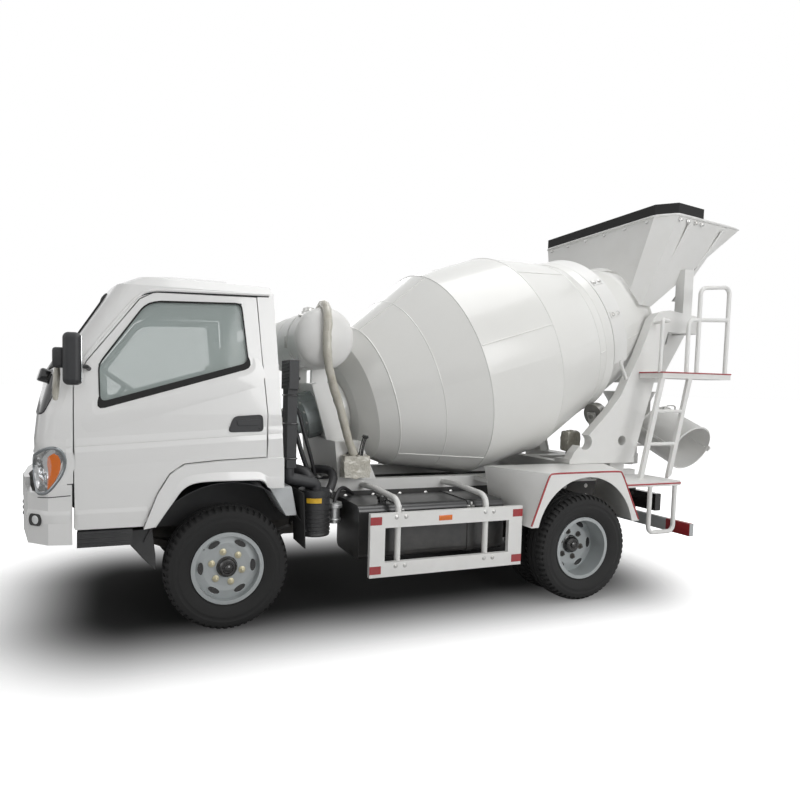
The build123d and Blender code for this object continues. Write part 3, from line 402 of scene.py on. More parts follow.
# one row per finish: colour, stain colour, stain amount and scale, roughness and its spread, grain scale
# and depth, dust amount and height, then the settings of the shader itself
WHITE, SHADE = (0.83, 0.83, 0.82), (0.74, 0.73, 0.7)
FINISHES = {
    "cab_enamel": (WHITE, SHADE, 0.1, 1.6, 0.3, 0.06, 900, 0.00002, 0.1, 0.9,
                   {"Coat Weight": 0.7, "Coat Roughness": 0.06}),
    "drum_enamel": ((0.8, 0.8, 0.775), (0.7, 0.69, 0.65), 0.22, 1.1, 0.34, 0.1, 60, 0.0002, 0.05, 1.2,
                    {"Coat Weight": 0.5, "Coat Roughness": 0.12}),
    "frame_enamel": ((0.8, 0.8, 0.785), (0.62, 0.6, 0.56), 0.2, 3.0, 0.42, 0.12, 220, 0.0001, 0.18, 1.1,
                     {"Coat Weight": 0.2, "Coat Roughness": 0.2}),
    "chassis_black": ((0.022, 0.023, 0.025), (0.07, 0.065, 0.06), 0.5, 5.0, 0.48, 0.2, 260, 0.0002, 0.35,
                      0.95, {}),
    "tank_black": ((0.016, 0.017, 0.019), (0.05, 0.05, 0.05), 0.4, 4.0, 0.3, 0.15, 120, 0.0001, 0.25, 0.8,
                   {"Coat Weight": 0.3, "Coat Roughness": 0.2}),
    "tyre_rubber": ((0.009, 0.01, 0.011), (0.026, 0.026, 0.026), 0.4, 7.0, 0.66, 0.12, 420, 0.0004, 0.16,
                    0.8, {}),
    "sheet_rubber": ((0.018, 0.019, 0.023), (0.05, 0.05, 0.055), 0.4, 5.0, 0.55, 0.15, 500, 0.0003, 0.2, 0.9,
                     {}),
    "wheel_silver": ((0.57, 0.56, 0.54), (0.34, 0.33, 0.3), 0.35, 9.0, 0.34, 0.15, 350, 0.00015, 0.2, 0.8,
                     {"Metallic": 0.7}),
    "iron_black": ((0.03, 0.03, 0.031), (0.1, 0.085, 0.07), 0.55, 8.0, 0.6, 0.2, 160, 0.0006, 0.4, 0.8,
                   {"Metallic": 0.2}),
    "gear_grey": ((0.42, 0.46, 0.46), (0.26, 0.28, 0.27), 0.4, 5.0, 0.45, 0.2, 140, 0.0004, 0.1, 1.2,
                  {"Metallic": 0.15}),
    "bare_steel": ((0.55, 0.55, 0.54), (0.35, 0.33, 0.3), 0.5, 14.0, 0.32, 0.2, 500, 0.0001, 0.1, 0.9,
                   {"Metallic": 1.0}),
    "cast_alloy": ((0.62, 0.63, 0.63), (0.4, 0.4, 0.4), 0.4, 16.0, 0.4, 0.15, 320, 0.0003, 0.1, 0.9,
                   {"Metallic": 0.9}),
    "nut_cream": ((0.62, 0.58, 0.42), (0.42, 0.36, 0.22), 0.5, 60.0, 0.35, 0.15, 500, 0.0001, 0.1, 0.8,
                  {"Metallic": 0.6}),
    "bar_grey": ((0.5, 0.52, 0.53), (0.36, 0.36, 0.35), 0.4, 6.0, 0.45, 0.15, 240, 0.0002, 0.2, 0.8, {}),
    "grained_plastic": ((0.022, 0.023, 0.025), (0.04, 0.04, 0.042), 0.4, 12.0, 0.48, 0.1, 700, 0.0004, 0.12,
                        0.9, {}),
    "gloss_black": ((0.01, 0.01, 0.011), (0.02, 0.02, 0.02), 0.3, 10.0, 0.16, 0.08, 500, 0.00003, 0.08, 0.9,
                    {"Coat Weight": 0.5}),
    "cabin_grey": ((0.3, 0.295, 0.285), (0.22, 0.215, 0.21), 0.3, 8.0, 0.6, 0.1, 600, 0.0004, 0.0, 0.9, {}),
    "cabin_pale": ((0.62, 0.61, 0.58), (0.5, 0.49, 0.46), 0.3, 6.0, 0.65, 0.1, 500, 0.0003, 0.0, 0.9, {}),
    "edge_red": ((0.36, 0.022, 0.028), (0.22, 0.02, 0.02), 0.4, 12.0, 0.35, 0.1, 400, 0.0001, 0.1, 0.9,
                 {"Coat Weight": 0.4}),
    "green_paint": ((0.02, 0.19, 0.075), (0.02, 0.1, 0.05), 0.3, 12.0, 0.35, 0.1, 400, 0.0001, 0.05, 0.9, {}),
    "label_yellow": ((0.8, 0.48, 0.03), (0.62, 0.38, 0.04), 0.2, 20.0, 0.45, 0.1, 400, 0.0001, 0.05, 0.9, {}),
    "hose_black": ((0.02, 0.02, 0.022), (0.05, 0.05, 0.05), 0.4, 20.0, 0.5, 0.15, 900, 0.0003, 0.15, 0.9, {}),
    "wrap_film": ((0.58, 0.56, 0.49), (0.34, 0.3, 0.22), 0.55, 13.0, 0.28, 0.25, 90, 0.004, 0.05, 1.0,
                  {"Coat Weight": 0.6, "Coat Roughness": 0.1}),
    "chrome": ((0.86, 0.87, 0.88), (0.7, 0.7, 0.7), 0.15, 10.0, 0.07, 0.05, 600, 0.00002, 0.05, 0.9,
               {"Metallic": 1.0}),
    "smoked_chrome": ((0.26, 0.28, 0.29), (0.18, 0.18, 0.18), 0.3, 10.0, 0.24, 0.08, 500, 0.00003, 0.05, 0.9,
                      {"Metallic": 0.8}),
    "mirror_glass": ((0.8, 0.82, 0.84), (0.72, 0.74, 0.76), 0.1, 8.0, 0.03, 0.02, 500, 0.00001, 0.0, 0.9,
                     {"Metallic": 1.0}),
    "amber_lens": ((0.72, 0.16, 0.01), (0.62, 0.14, 0.01), 0.3, 40.0, 0.14, 0.06, 240, 0.0006, 0.0, 0.9,
                   {"Coat Weight": 0.6}),
    "red_lens": ((0.4, 0.012, 0.012), (0.25, 0.01, 0.01), 0.3, 40.0, 0.14, 0.06, 260, 0.0006, 0.0, 0.9,
                 {"Coat Weight": 0.6}),
    "clear_lens": ((0.78, 0.79, 0.79), (0.62, 0.63, 0.63), 0.3, 40.0, 0.1, 0.06, 260, 0.0006, 0.0, 0.9,
                   {"Coat Weight": 0.6}),
    "plate_blank": ((0.7, 0.71, 0.71), (0.62, 0.62, 0.62), 0.2, 12.0, 0.4, 0.1, 300, 0.0001, 0.1, 0.9, {}),
}
# the slot that each finish takes where a piece doesn't name another
SLOTS = {
    "body_white": "cab_enamel drum_enamel frame_enamel edge_red plate_blank",
    "trim_black": "gloss_black grained_plastic tank_black label_yellow",
    "lamp_glass": "chrome smoked_chrome mirror_glass amber_lens clear_lens red_lens",
    "machine_grey": "gear_grey wrap_film green_paint cast_alloy",
    "sheet_rubber": "sheet_rubber hose_black",
    "wheel_silver": "wheel_silver nut_cream",
    "roller_steel": "bare_steel",
    "axle_iron": "iron_black",
    "guard_grey": "bar_grey",
    "tyre_rubber": "tyre_rubber",
    "seat_cloth": "seat_cloth",
}
SETTINGS = ("Color", "Stain Color", "Stain Amount", "Stain Scale", "Roughness", "Roughness Spread",
            "Grain Scale", "Grain Depth", "Dust Amount", "Dust Height")


def finish(name):
    """The named material, built the first time it is asked for."""
    if name in bpy.data.materials:
        return bpy.data.materials[name]
    material = bpy.data.materials.new(name)
    material.use_nodes = True
    tree = material.node_tree
    shader = tree.nodes["Principled BSDF"]
    if name in ("window_glass", "lamp_cover"):
        return clear_finish(material, tree, shader, name)
    if name == "seat_cloth":
        group = add_node(tree, "ShaderNodeGroup", node_tree=weave_group())
        shader.inputs["Roughness"].default_value = 0.85
        shader.inputs["Sheen Weight"].default_value = 0.3
    else:
        *values, shading = FINISHES[name]
        group = add_node(tree, "ShaderNodeGroup", node_tree=surface_group())
        truck = bpy.context.scene.mixer_truck
        if name in ("cab_enamel", "drum_enamel", "frame_enamel"):
            values[0] = [a * b for a, b in zip(values[0], truck.paint)]
        for title, value in zip(SETTINGS, values):
            group.inputs[title].default_value = (*value, 1) if isinstance(value, (tuple, list)) else value
        for title, value in shading.items():
            shader.inputs[title].default_value = value
        tree.links.new(group.outputs["Roughness"], shader.inputs["Roughness"])
    tree.links.new(group.outputs["Color"], shader.inputs["Base Color"])
    tree.links.new(group.outputs["Normal"], shader.inputs["Normal"])
    return material


def clear_finish(material, tree, shader, name):
    """Thin clear glass: mostly see-through, glossier toward its edges, with a pale coat over it that is a
    painted reflection of the bright surroundings.
    """
    painted_reflection_colour = (0.97, 0.94, 0.96, 1) if name == "window_glass" else (0.93, 0.94, 0.94, 1)
    smear = ranged(tree, noisy(tree, object_place(tree), 5.0, 4.0), 0.0, 1.0, 0.0, 0.05)
    tree.links.new(smear, shader.inputs["Roughness"])
    # the pale base colour of the part that isn't see-through is painted reflection
    shader.inputs["Base Color"].default_value = painted_reflection_colour
    shader.inputs["IOR"].default_value = 1.45
    shader.inputs["Alpha"].default_value = 0.52 if name == "window_glass" else 0.22
    return material


NODE_FINISH = {
    "cab_enamel": "cab_shell bumper door_left door_right",
    "drum_enamel": "drum_head drum_belly drum_cone",
    "frame_enamel": "side_guards rear_fenders subframe_rails drum_pedestal water_tank rear_arms rear_frame "
                    "hopper platform ladder chute chute_extension chute_pivot",
    "chassis_black": "chassis_rails chassis_crossmembers cab_floor",
    "tank_black": "fuel_tank battery_box",
    "tyre_rubber": "tyre_front_left tyre_front_right tyres_rear_left tyres_rear_right",
    "wheel_silver": "rim_front_left rim_front_right rims_rear_left rims_rear_right",
    "iron_black": "front_axle rear_axle engine_block knuckle_left knuckle_right tie_rod leaf_springs",
    "grained_plastic": "air_intake mirror_left mirror_right cowl_panel sills",
    "cast_alloy": "fuel_filter",
    "sheet_rubber": "mudflaps hopper_rubber",
    "bar_grey": "underrun_bar",
    "gloss_black": "tail_lamps",
    "bare_steel": "roller_left roller_right",
    "gear_grey": "drum_gearbox",
    "window_glass": "cab_glass door_glass_left door_glass_right",
    "lamp_cover": "headlights",
    "cabin_grey": "dashboard steering_wheel",
    "seat_cloth": "seats",
    "wrap_film": "control_box",
}


# ---- settings -----------------------------------------------------------------------
class MixerTruckSettings(bpy.types.PropertyGroup):
    """Sizes and colours of the truck's fittings."""

    paint: bpy.props.FloatVectorProperty(
        name="Paint", description="Tint multiplied into the white enamels", subtype="COLOR", size=3,
        default=(1.0, 1.0, 1.0), min=0, max=1)
    tread_lugs: bpy.props.IntProperty(
        name="Tread lugs", description="Lugs round each tyre", default=56, min=24, max=90)
    tread_depth: bpy.props.FloatProperty(
        name="Tread depth", description="Depth of the tread's grooves",
        default=0.01, min=0.002, max=0.016, unit="LENGTH", subtype="DISTANCE")
    wheel_nut: bpy.props.FloatProperty(
        name="Wheel nut", description="Radius of a wheel nut",
        default=0.0145, min=0.008, max=0.02, unit="LENGTH", subtype="DISTANCE")
    seam_height: bpy.props.FloatProperty(
        name="Weld seam", description="Height of the drum's weld seams",
        default=0.0022, min=0.0005, max=0.006, unit="LENGTH", subtype="DISTANCE")


# ---- the cab's outer surface --------------------------------------------------------
# height, front at the middle, rear, half width, bow of the front, corner radius, in millimetres
CAB_LEVELS = (
    (684, 1090, -345, 800, 60, 100), (960, 1135, -333, 818, 65, 105), (1180, 1140, -321, 820, 65, 110),
    (1340, 1125, -311, 816, 70, 115), (1560, 1078, -298, 800, 80, 130), (2080, 728, -266, 742, 75, 90),
    (2135, 600, -245, 700, 62, 90), (2158, 480, -210, 620, 55, 90), (2175, 290, -130, 500, 50, 90))


def cab_level(z):
    """Front, rear, half width, bow and corner radius of the cab at a height, all in metres."""
    for low, high in zip(CAB_LEVELS, CAB_LEVELS[1:]):
        if z * 1000 <= high[0]:
            break
    share = min(max((z * 1000 - low[0]) / (high[0] - low[0]), 0), 1)
    return [(a + (b - a) * share) / 1000 for a, b in zip(low[1:], high[1:])]


def on_side(x, z, out=0.0):
    """A place on the cab's left wall."""
    return Vector((FRONT + x, cab_level(z)[2] + out, z))


def on_front(y, z, out=0.0):
    """A place on the cab's bowed front."""
    front, _, half, bow, corner = cab_level(z)
    chord = half - corner
    radius = (chord * chord + bow * bow) / (2 * bow)
    return Vector((FRONT + front - radius + math.sqrt(radius * radius - y * y) + out, y, z))


def on_corner(angle, z, out=0.0):
    """A place on the cab's left front corner: 0 degrees faces forward and 90 to the side."""
    front, _, half, bow, corner = cab_level(z)
    angle = math.radians(angle)
    middle = Vector((FRONT + front - bow - corner, half - corner, z))
    return middle + Vector((math.cos(angle), math.sin(angle), 0)) * (corner + out)


def on_cab(along, z, out=0.0):
    """A place on the cab's left: 0 is where the corner starts, less is further in and more further back."""
    front, _, half, bow, corner = cab_level(z)
    if along < 0:
        return on_front(half - corner + along, z, out)
    if along < corner * math.pi / 2:
        return on_corner(math.degrees(along / corner), z, out)
    return on_side(front - bow - corner - along + corner * math.pi / 2, z, out)


def smooth_line(points, count, closed=False):
    """Evenly spread places along a smooth curve through flat points."""
    points = [Vector((*point, 0)) for point in points]
    if closed:
        points = points[-1:] + points + points[:2]
    else:
        points = [points[0] * 2 - points[1]] + points + [points[-1] * 2 - points[-2]]
    dense = []
    for a, b, c, d in zip(points, points[1:], points[2:], points[3:]):
        for i in range(12):
            t = i / 12
            dense.append((b * 2 + (c - a) * t + (a * 2 - b * 5 + c * 4 - d) * t * t + (b * 3 - c * 3 + d - a)
                          * t ** 3) / 2)
    dense.append(points[-2])
    reach = [0]
    for a, b in zip(dense, dense[1:]):
        reach.append(reach[-1] + (b - a).length)
    result, i = [], 0
    for n in range(count):
        goal = reach[-1] * n / (count - 1)
        while i < len(reach) - 2 and reach[i + 1] < goal:
            i += 1
        share = (goal - reach[i]) / max(reach[i + 1] - reach[i], 1e-9)
        result.append(tuple(dense[i].lerp(dense[i + 1], share).xy))
    return result


def flat_mixed(a, b, share):
    """A flat point between two others."""
    return tuple(mixed((*a, 0), (*b, 0), share).xy)


def lines_between(first, last, shares):
    """Flat lines that lead from one to another, by shares of the way."""
    return [[flat_mixed(a, b, share) for a, b in zip(first, last)] for share in shares]


def cornered(points, *shares):
    """Control points along straight runs, close enough to each corner to hold it."""
    return [mixed(a, b, share) for a, b in zip(points, points[1:]) for share in shares]


def between(lines, outs, place, thickness):
    """A sheet through several lines with as many points each, held off the surface by the outs."""
    def spot(u, v):
        row = round(v * (len(lines) - 1))
        return place(*lines[row][round(u * (len(lines[0]) - 1))], outs[row])

    return skin(len(lines[0]) - 1, len(lines) - 1, spot, thickness)


def skin(columns, rows, place, thickness):
    """A thin sheet whose points are given by a place function of two shares from 0 to 1."""
    clear_selection()
    bpy.ops.mesh.primitive_grid_add(x_subdivisions=columns, y_subdivisions=rows, size=1)
    obj = bpy.context.object
    for vertex in obj.data.vertices:
        vertex.co = place(vertex.co.x + 0.5, vertex.co.y + 0.5)
    edit(obj)
    bpy.ops.mesh.normals_make_consistent(inside=False)
    leave()
    return thickened(obj, thickness)


def thickened(obj, thickness, offset=0.0):
    choose(obj)
    wall = obj.modifiers.new("Wall", "SOLIDIFY")
    wall.thickness, wall.offset = thickness, offset
    bpy.ops.object.modifier_apply(modifier="Wall")
    return obj


def mixed(a, b, share):
    return Vector(a) + (Vector(b) - Vector(a)) * share


def fore(x, y, z):
    """A place measured from the front axle."""
    return Vector((FRONT + x, y, z))


def aft(x, y, z):
    """A place measured from the rear axle."""
    return Vector((REAR + x, y, z))


def drum_place(along, up=0.0, across=0.0):
    return DRUM_START + DRUM_AXIS * along + DRUM_UP * up + Y * across


# ---- wheels -------------------------------------------------------------------------
# half of the tyre's section, (radius, place from its middle plane), from bead to crown
TYRE_HALF = (
    (0.2078, 0.056), (0.2078, 0.069), (0.2262, 0.069), (0.233, 0.076), (0.238, 0.0755), (0.26, 0.09),
    (0.29, 0.0975), (0.3, 0.099), (0.303, 0.0975), (0.325, 0.0975), (0.328, 0.099), (0.344, 0.096),
    (0.358, 0.0915), (0.37, 0.085), (0.379, 0.074), (0.384, 0.058), (0.3862, 0.043), (0.379, 0.041),
    (0.379, 0.035), (0.3872, 0.033), (0.388, 0.008), (0.38, 0.0065), (0.38, 0.003))


# the wheels' oval hand holes: how far out they sit, half of the angle they take and half of their height
HOLE_REACH, HOLE_TURN, HOLE_HEIGHT = 0.1645, 0.042 / 0.165, 0.0205


def tyre(centre, lugs, depth):
    """One tyre with shoulder lugs and three ribs between circumferential grooves."""
    profile = list(TYRE_HALF) + [(r, -a) for r, a in reversed(TYRE_HALF)]
    obj = lathe(profile, centre, Y, lugs * 2, looped=True)
    step = math.tau / (lugs * 2)
    edit(obj)

    def groove(place, _):
        offset = place - Vector(centre)
        radius = math.hypot(offset.x, offset.z)
        row = math.floor(math.atan2(offset.z, offset.x) / step + 1e-3)
        return radius > 0.362 and 0.043 < abs(offset.y) and (row + (offset.y > 0)) % 2 == 0

    pick_faces(obj, groove)
    bpy.ops.mesh.extrude_region_shrink_fatten(TRANSFORM_OT_shrink_fatten={"value": -depth})
    leave()
    return obj


class MIXERTRUCK_OT_tyres(bpy.types.Operator):
    """Model the lugged tyres, single in front and twin behind"""

    bl_idname = "mixer_truck.tyres"
    bl_label = "Tyres"

    def execute(self, context):
        truck = context.scene.mixer_truck
        for _, name in SIDES:
            low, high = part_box("tyre_front_" + name)
            middle = (low + high) / 2
            settle(tyre(middle, truck.tread_lugs, truck.tread_depth), "tread_front_" + name, "tyre_rubber",
                   "wheel_front_" + name, stands_for=["tyre_front_" + name], smooth=28)
            low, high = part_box("tyres_rear_" + name)
            middle = Vector(((low.x + high.x) / 2, low.y + (high.y - low.y) * 0.2247, AXLE_Z))
            spacing = high.y - low.y - 2 * (middle.y - low.y)
            pair = copied(tyre(middle, truck.tread_lugs, truck.tread_depth),
                          [Matrix.Identity(4), Matrix.Translation(Y * spacing)])
            settle(pair, "treads_rear_" + name, "tyre_rubber", "wheel_rear_" + name,
                   stands_for=["tyres_rear_" + name], smooth=28)
        return {"FINISHED"}


class MIXERTRUCK_OT_wheel_fittings(bpy.types.Operator):
    """Model the wheel nuts, hub covers, valves and brake drums"""

    bl_idname = "mixer_truck.wheel_fittings"
    bl_label = "Wheel fittings"

    def execute(self, context):
        nut_size = context.scene.mixer_truck.wheel_nut
        # axle, wheel's middle, disc's face, nut finish
        rows = (("front", FRONT, 0.685, 0.037, "nut_cream"), ("rear", REAR, 0.893, -0.047, "iron_black"))
        for axle, x, y, face, nut_finish in rows:
            for side, name in SIDES:
                label = axle + "_" + name
                body = "wheel_" + label
                out = Y * side
                centre = Vector((x, side * (y + face), AXLE_Z))
                nuts = joined(hex_bolt(nut_size),
                              rod((0, 0, 0), (0, 0, nut_size * 1.6), nut_size * 0.55, 12),
                              rod((0, 0, 0), (0, 0, 0.004), nut_size * 1.5, 18))
                settle(copied(nuts, ring_places(centre, out, 0.098, 6, math.radians(30))), "nuts_" + label,
                       nut_finish, body, slot="wheel_silver")
                hole_shades, rims = [], []
                for i in range(6):
                    oval = []
                    for j in range(20):
                        turn = math.radians(60 * i) + math.cos(math.tau * j / 20) * HOLE_TURN
                        reach = HOLE_REACH + math.sin(math.tau * j / 20) * HOLE_HEIGHT
                        oval.append(centre + X * math.cos(turn) * reach + Z * math.sin(turn) * reach)
                    # a flat black oval laid on the disc at each hand hole: painted shade standing in for the
                    # dark seen through the hole
                    hole_shades.append(plate(oval, out * 0.0012))
                    rims.append(pipe(oval + oval[:1], 0.0026, 6))
                settle(joined(*hole_shades), "slots_" + label, "gloss_black", body, slot="wheel_silver")
                settle(joined(*rims), "slot_rims_" + label, "wheel_silver", body)
                cap = lathe([(0, 0.0345), (0.03, 0.0355), (0.034, 0.04), (0.044, 0.04), (0.05, 0.0355),
                             (0.0575, 0.0285), (0.06, 0.02), (0.06, 0.006), (0.066, 0.002), (0.066, 0.0005),
                             (0, 0.0005)], centre, out, 40)
                dome = lathe([(0, 0.05), (0.014, 0.0485), (0.022, 0.043), (0.024, 0.036), (0, 0.036)],
                             centre, out, 24)
                settle(joined(cap, dome), "hub_" + label, "gloss_black", body, slot="axle_iron")
                stem = pipe([centre + X * 0.14 + Z * 0.118 + out * 0.002,
                             centre + X * 0.15 + Z * 0.127 + out * 0.022,
                             centre + X * 0.156 + Z * 0.134 + out * 0.038], 0.0042)
                settle(stem, "valve_" + label, "bare_steel", body, slot="wheel_silver")
        for side, name in SIDES:
            drum = lathe([(0.136, 0.0), (0.158, 0.0), (0.158, 0.01), (0.152, 0.014), (0.152, 0.03),
                          (0.158, 0.034), (0.158, 0.044), (0.15, 0.06), (0.136, 0.06)],
                         (FRONT, side * 0.606, AXLE_Z), Y * side, 48, looped=True)
            settle(drum, "brake_drum_front_" + name, "iron_black", "wheel_front_" + name)
        return {"FINISHED"}


# ---- cab ----------------------------------------------------------------------------
# the side window, (x, z) from the front axle
WINDOW = ((0.735, 1.4), (-0.106, 1.648), (-0.066, 2.01), (0.44, 1.99), (0.5, 1.96), (0.742, 1.618))


def offset_outline(points, gap):
    """An (x, z) outline moved outward from its middle by a gap, side by side."""
    count, moved = len(points), []
    area = sum(points[i - 1][0] * points[i][1] - points[i][0] * points[i - 1][1] for i in range(count))
    sign = math.copysign(1, area)
    for i in range(count):
        a, b, c = (Vector((*points[j % count], 0)) for j in (i - 1, i, i + 1))
        before, after = (b - a).normalized(), (c - b).normalized()
        normals = [Vector((way.y, -way.x, 0)) * sign for way in (before, after)]
        middle = (normals[0] + normals[1]).normalized()
        moved.append(tuple((b + middle * gap / max(middle.dot(normals[0]), 0.4)).xy))
    return moved


def mirrored_to(obj, side):
    """Turns a piece of the left side into the right side's."""
    return obj if side > 0 else copied(obj, [Matrix.Scale(-1, 4, Y)])


def band(outer, inner, out, thickness):
    """A strip between two (x, z) outlines with as many corners, lying on the cab's left wall."""
    count = len(outer)

    def place(u, v):
        i = min(round(u * count), count) % count
        x, z = (outer if v < 0.5 else inner)[i]
        return on_side(x, z, out)

    obj = skin(count + 1, 2, place, thickness)
    edit(obj)
    bpy.ops.mesh.remove_doubles(threshold=0.0001)
    leave()
    return obj


# a pressed step in the cab's side, seen in section: how far down, how far out
WAIST = ((-0.045, 0.0001), (-0.006, 0.0042), (-0.001, 0.004), (0.001, 0.0004), (0.004, 0.0006),
         (0.03, 0.0075), (0.037, 0.0077), (0.12, 0.0001))
LOW_LINE = ((-0.006, 0.0001), (0.0, 0.0006), (0.017, 0.0062), (0.023, 0.0063), (0.085, 0.0001))


def pressed(a, b, section, columns=24):
    """A step pressed in the cab's left wall along a line between two (x, z) points."""
    def place(u, v):
        drop, out = section[round(v * (len(section) - 1))]
        return on_side(a[0] + (b[0] - a[0]) * u, a[1] + (b[1] - a[1]) * u - drop, out)

    return skin(columns, len(section) - 1, place, 0.0006)


def under_window(section, thickness):
    """A strip under the side window that rounds its lower corners; its section gives how far down and out."""
    fade = (0.0, 0.35, 0.75, 0.95) + (1.0,) * 14 + (0.95, 0.75, 0.35, 0.0)
    paths = []
    for gap, _ in section:
        line = rounded_outline(offset_outline(WINDOW, gap), 0.036 + max(gap, 0) * 0.7)[:10]
        middle = [flat_mixed(line[4], line[5], (i + 1) / 13) for i in range(12)]
        paths.append(line[:5] + middle + line[5:])

    def place(u, v):
        column, row = round(u * (len(fade) - 1)), round(v * (len(section) - 1))
        (x, z), (flat_x, flat_z) = paths[row][column], paths[0][column]
        share = fade[column]
        return on_side(flat_x + (x - flat_x) * (0.25 + 0.75 * share),
                       flat_z + (z - flat_z) * (0.25 + 0.75 * share), section[row][1] * (0.15 + 0.85 * share))

    return skin(len(fade) - 1, len(section) - 1, place, thickness)


def rounded_outline(points, radius, steps=4):
    """An (x, z) outline with each corner replaced by a short curve."""
    result, count = [], len(points)
    for i in range(count):
        a, b, c = (Vector((*points[j % count], 0)) for j in (i - 1, i, i + 1))
        p, q = b + (a - b).normalized() * radius, b + (c - b).normalized() * radius
        for step in range(steps + 1):
            t = step / steps
            result.append(tuple((p * (1 - t) ** 2 + b * 2 * t * (1 - t) + q * t * t).xy))
    return result


class MIXERTRUCK_OT_door_trim(bpy.types.Operator):
    """Model the window seals, door handles, creases and mirror glasses"""

    bl_idname = "mixer_truck.door_trim"
    bl_label = "Door trim"

    def execute(self, context):
        for side, name in SIDES:
            def put(obj, title, material, slot=None):
                settle(mirrored_to(obj, side), title + "_" + name, material, "door_" + name, slot=slot)

            outer = rounded_outline(offset_outline(WINDOW, 0.003), 0.042)
            inner = rounded_outline(offset_outline(WINDOW, -0.005), 0.036)
            seal = band(outer, inner, 0.001, 0.004)
            sill = under_window(((-0.003, 0.0), (0.0, 0.0035), (0.026, 0.004), (0.031, 0.0)), 0.0012)
            put(joined(seal, sill), "window_seal", "sheet_rubber")
            ledge = under_window(((0.03, 0.0002), (0.036, 0.0006), (0.06, 0.0068), (0.066, 0.007),
                                  (0.15, 0.0002)), 0.0008)
            put(ledge, "window_ledge", "cab_enamel")

            shape = rounded_outline(((0.022, 1.234), (-0.014, 1.33), (-0.192, 1.342), (-0.197, 1.238)), 0.028)
            cup = plate([on_side(x, z, 0.0) for x, z in shape], Y * 0.0075)
            edit(cup)
            pick_faces(cup, lambda centre, normal: normal.y > 0.8)
            bpy.ops.mesh.inset(thickness=0.006)
            bpy.ops.mesh.extrude_region_move(TRANSFORM_OT_translate={"value": (0, -0.003, 0)})
            leave()
            grip = plate([on_side(x, z, 0.001)
                          for x, z in rounded_outline(((-0.03, 1.304), (-0.176, 1.314), (-0.176, 1.278),
                                                       (-0.04, 1.272)), 0.012)], Y * 0.009, 0.0015)
            lock = rod(on_side(-0.172, 1.26, -0.001), on_side(-0.172, 1.26, 0.0075), 0.006, 14)
            put(joined(cup, grip, lock), "door_handle", "grained_plastic")

            strips = [pressed((0.862, 1.16), (-0.214, 1.222), WAIST),
                      pressed((0.858, 0.8), (0.478, 0.802), LOW_LINE)]
            put(joined(*strips), "door_crease", "cab_enamel")

            glass = block((0.003, 0.128, 0.236),
                          (FRONT + 0.8145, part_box("mirror_left")[1].y - 0.0775, 1.635), bevel=0.0012)
            put(glass, "mirror_glass", "mirror_glass")
            small = soft_block((0.062, 0.085, 0.105), (FRONT + 0.925, 0.975, 1.64), 0.016, 3)
            put(small, "small_mirror", "grained_plastic")
            stay = lathe([(0.006, -0.088), (0.013, -0.082), (0.017, -0.05), (0.018, 0.05), (0.014, 0.084),
                          (0.006, 0.088)], (FRONT + 0.944, 0.93, 1.505), (-0.06, 0.02, 1), 20, looped=True)
            put(stay, "mirror_stay", "wrap_film", slot="trim_black")
        return {"FINISHED"}


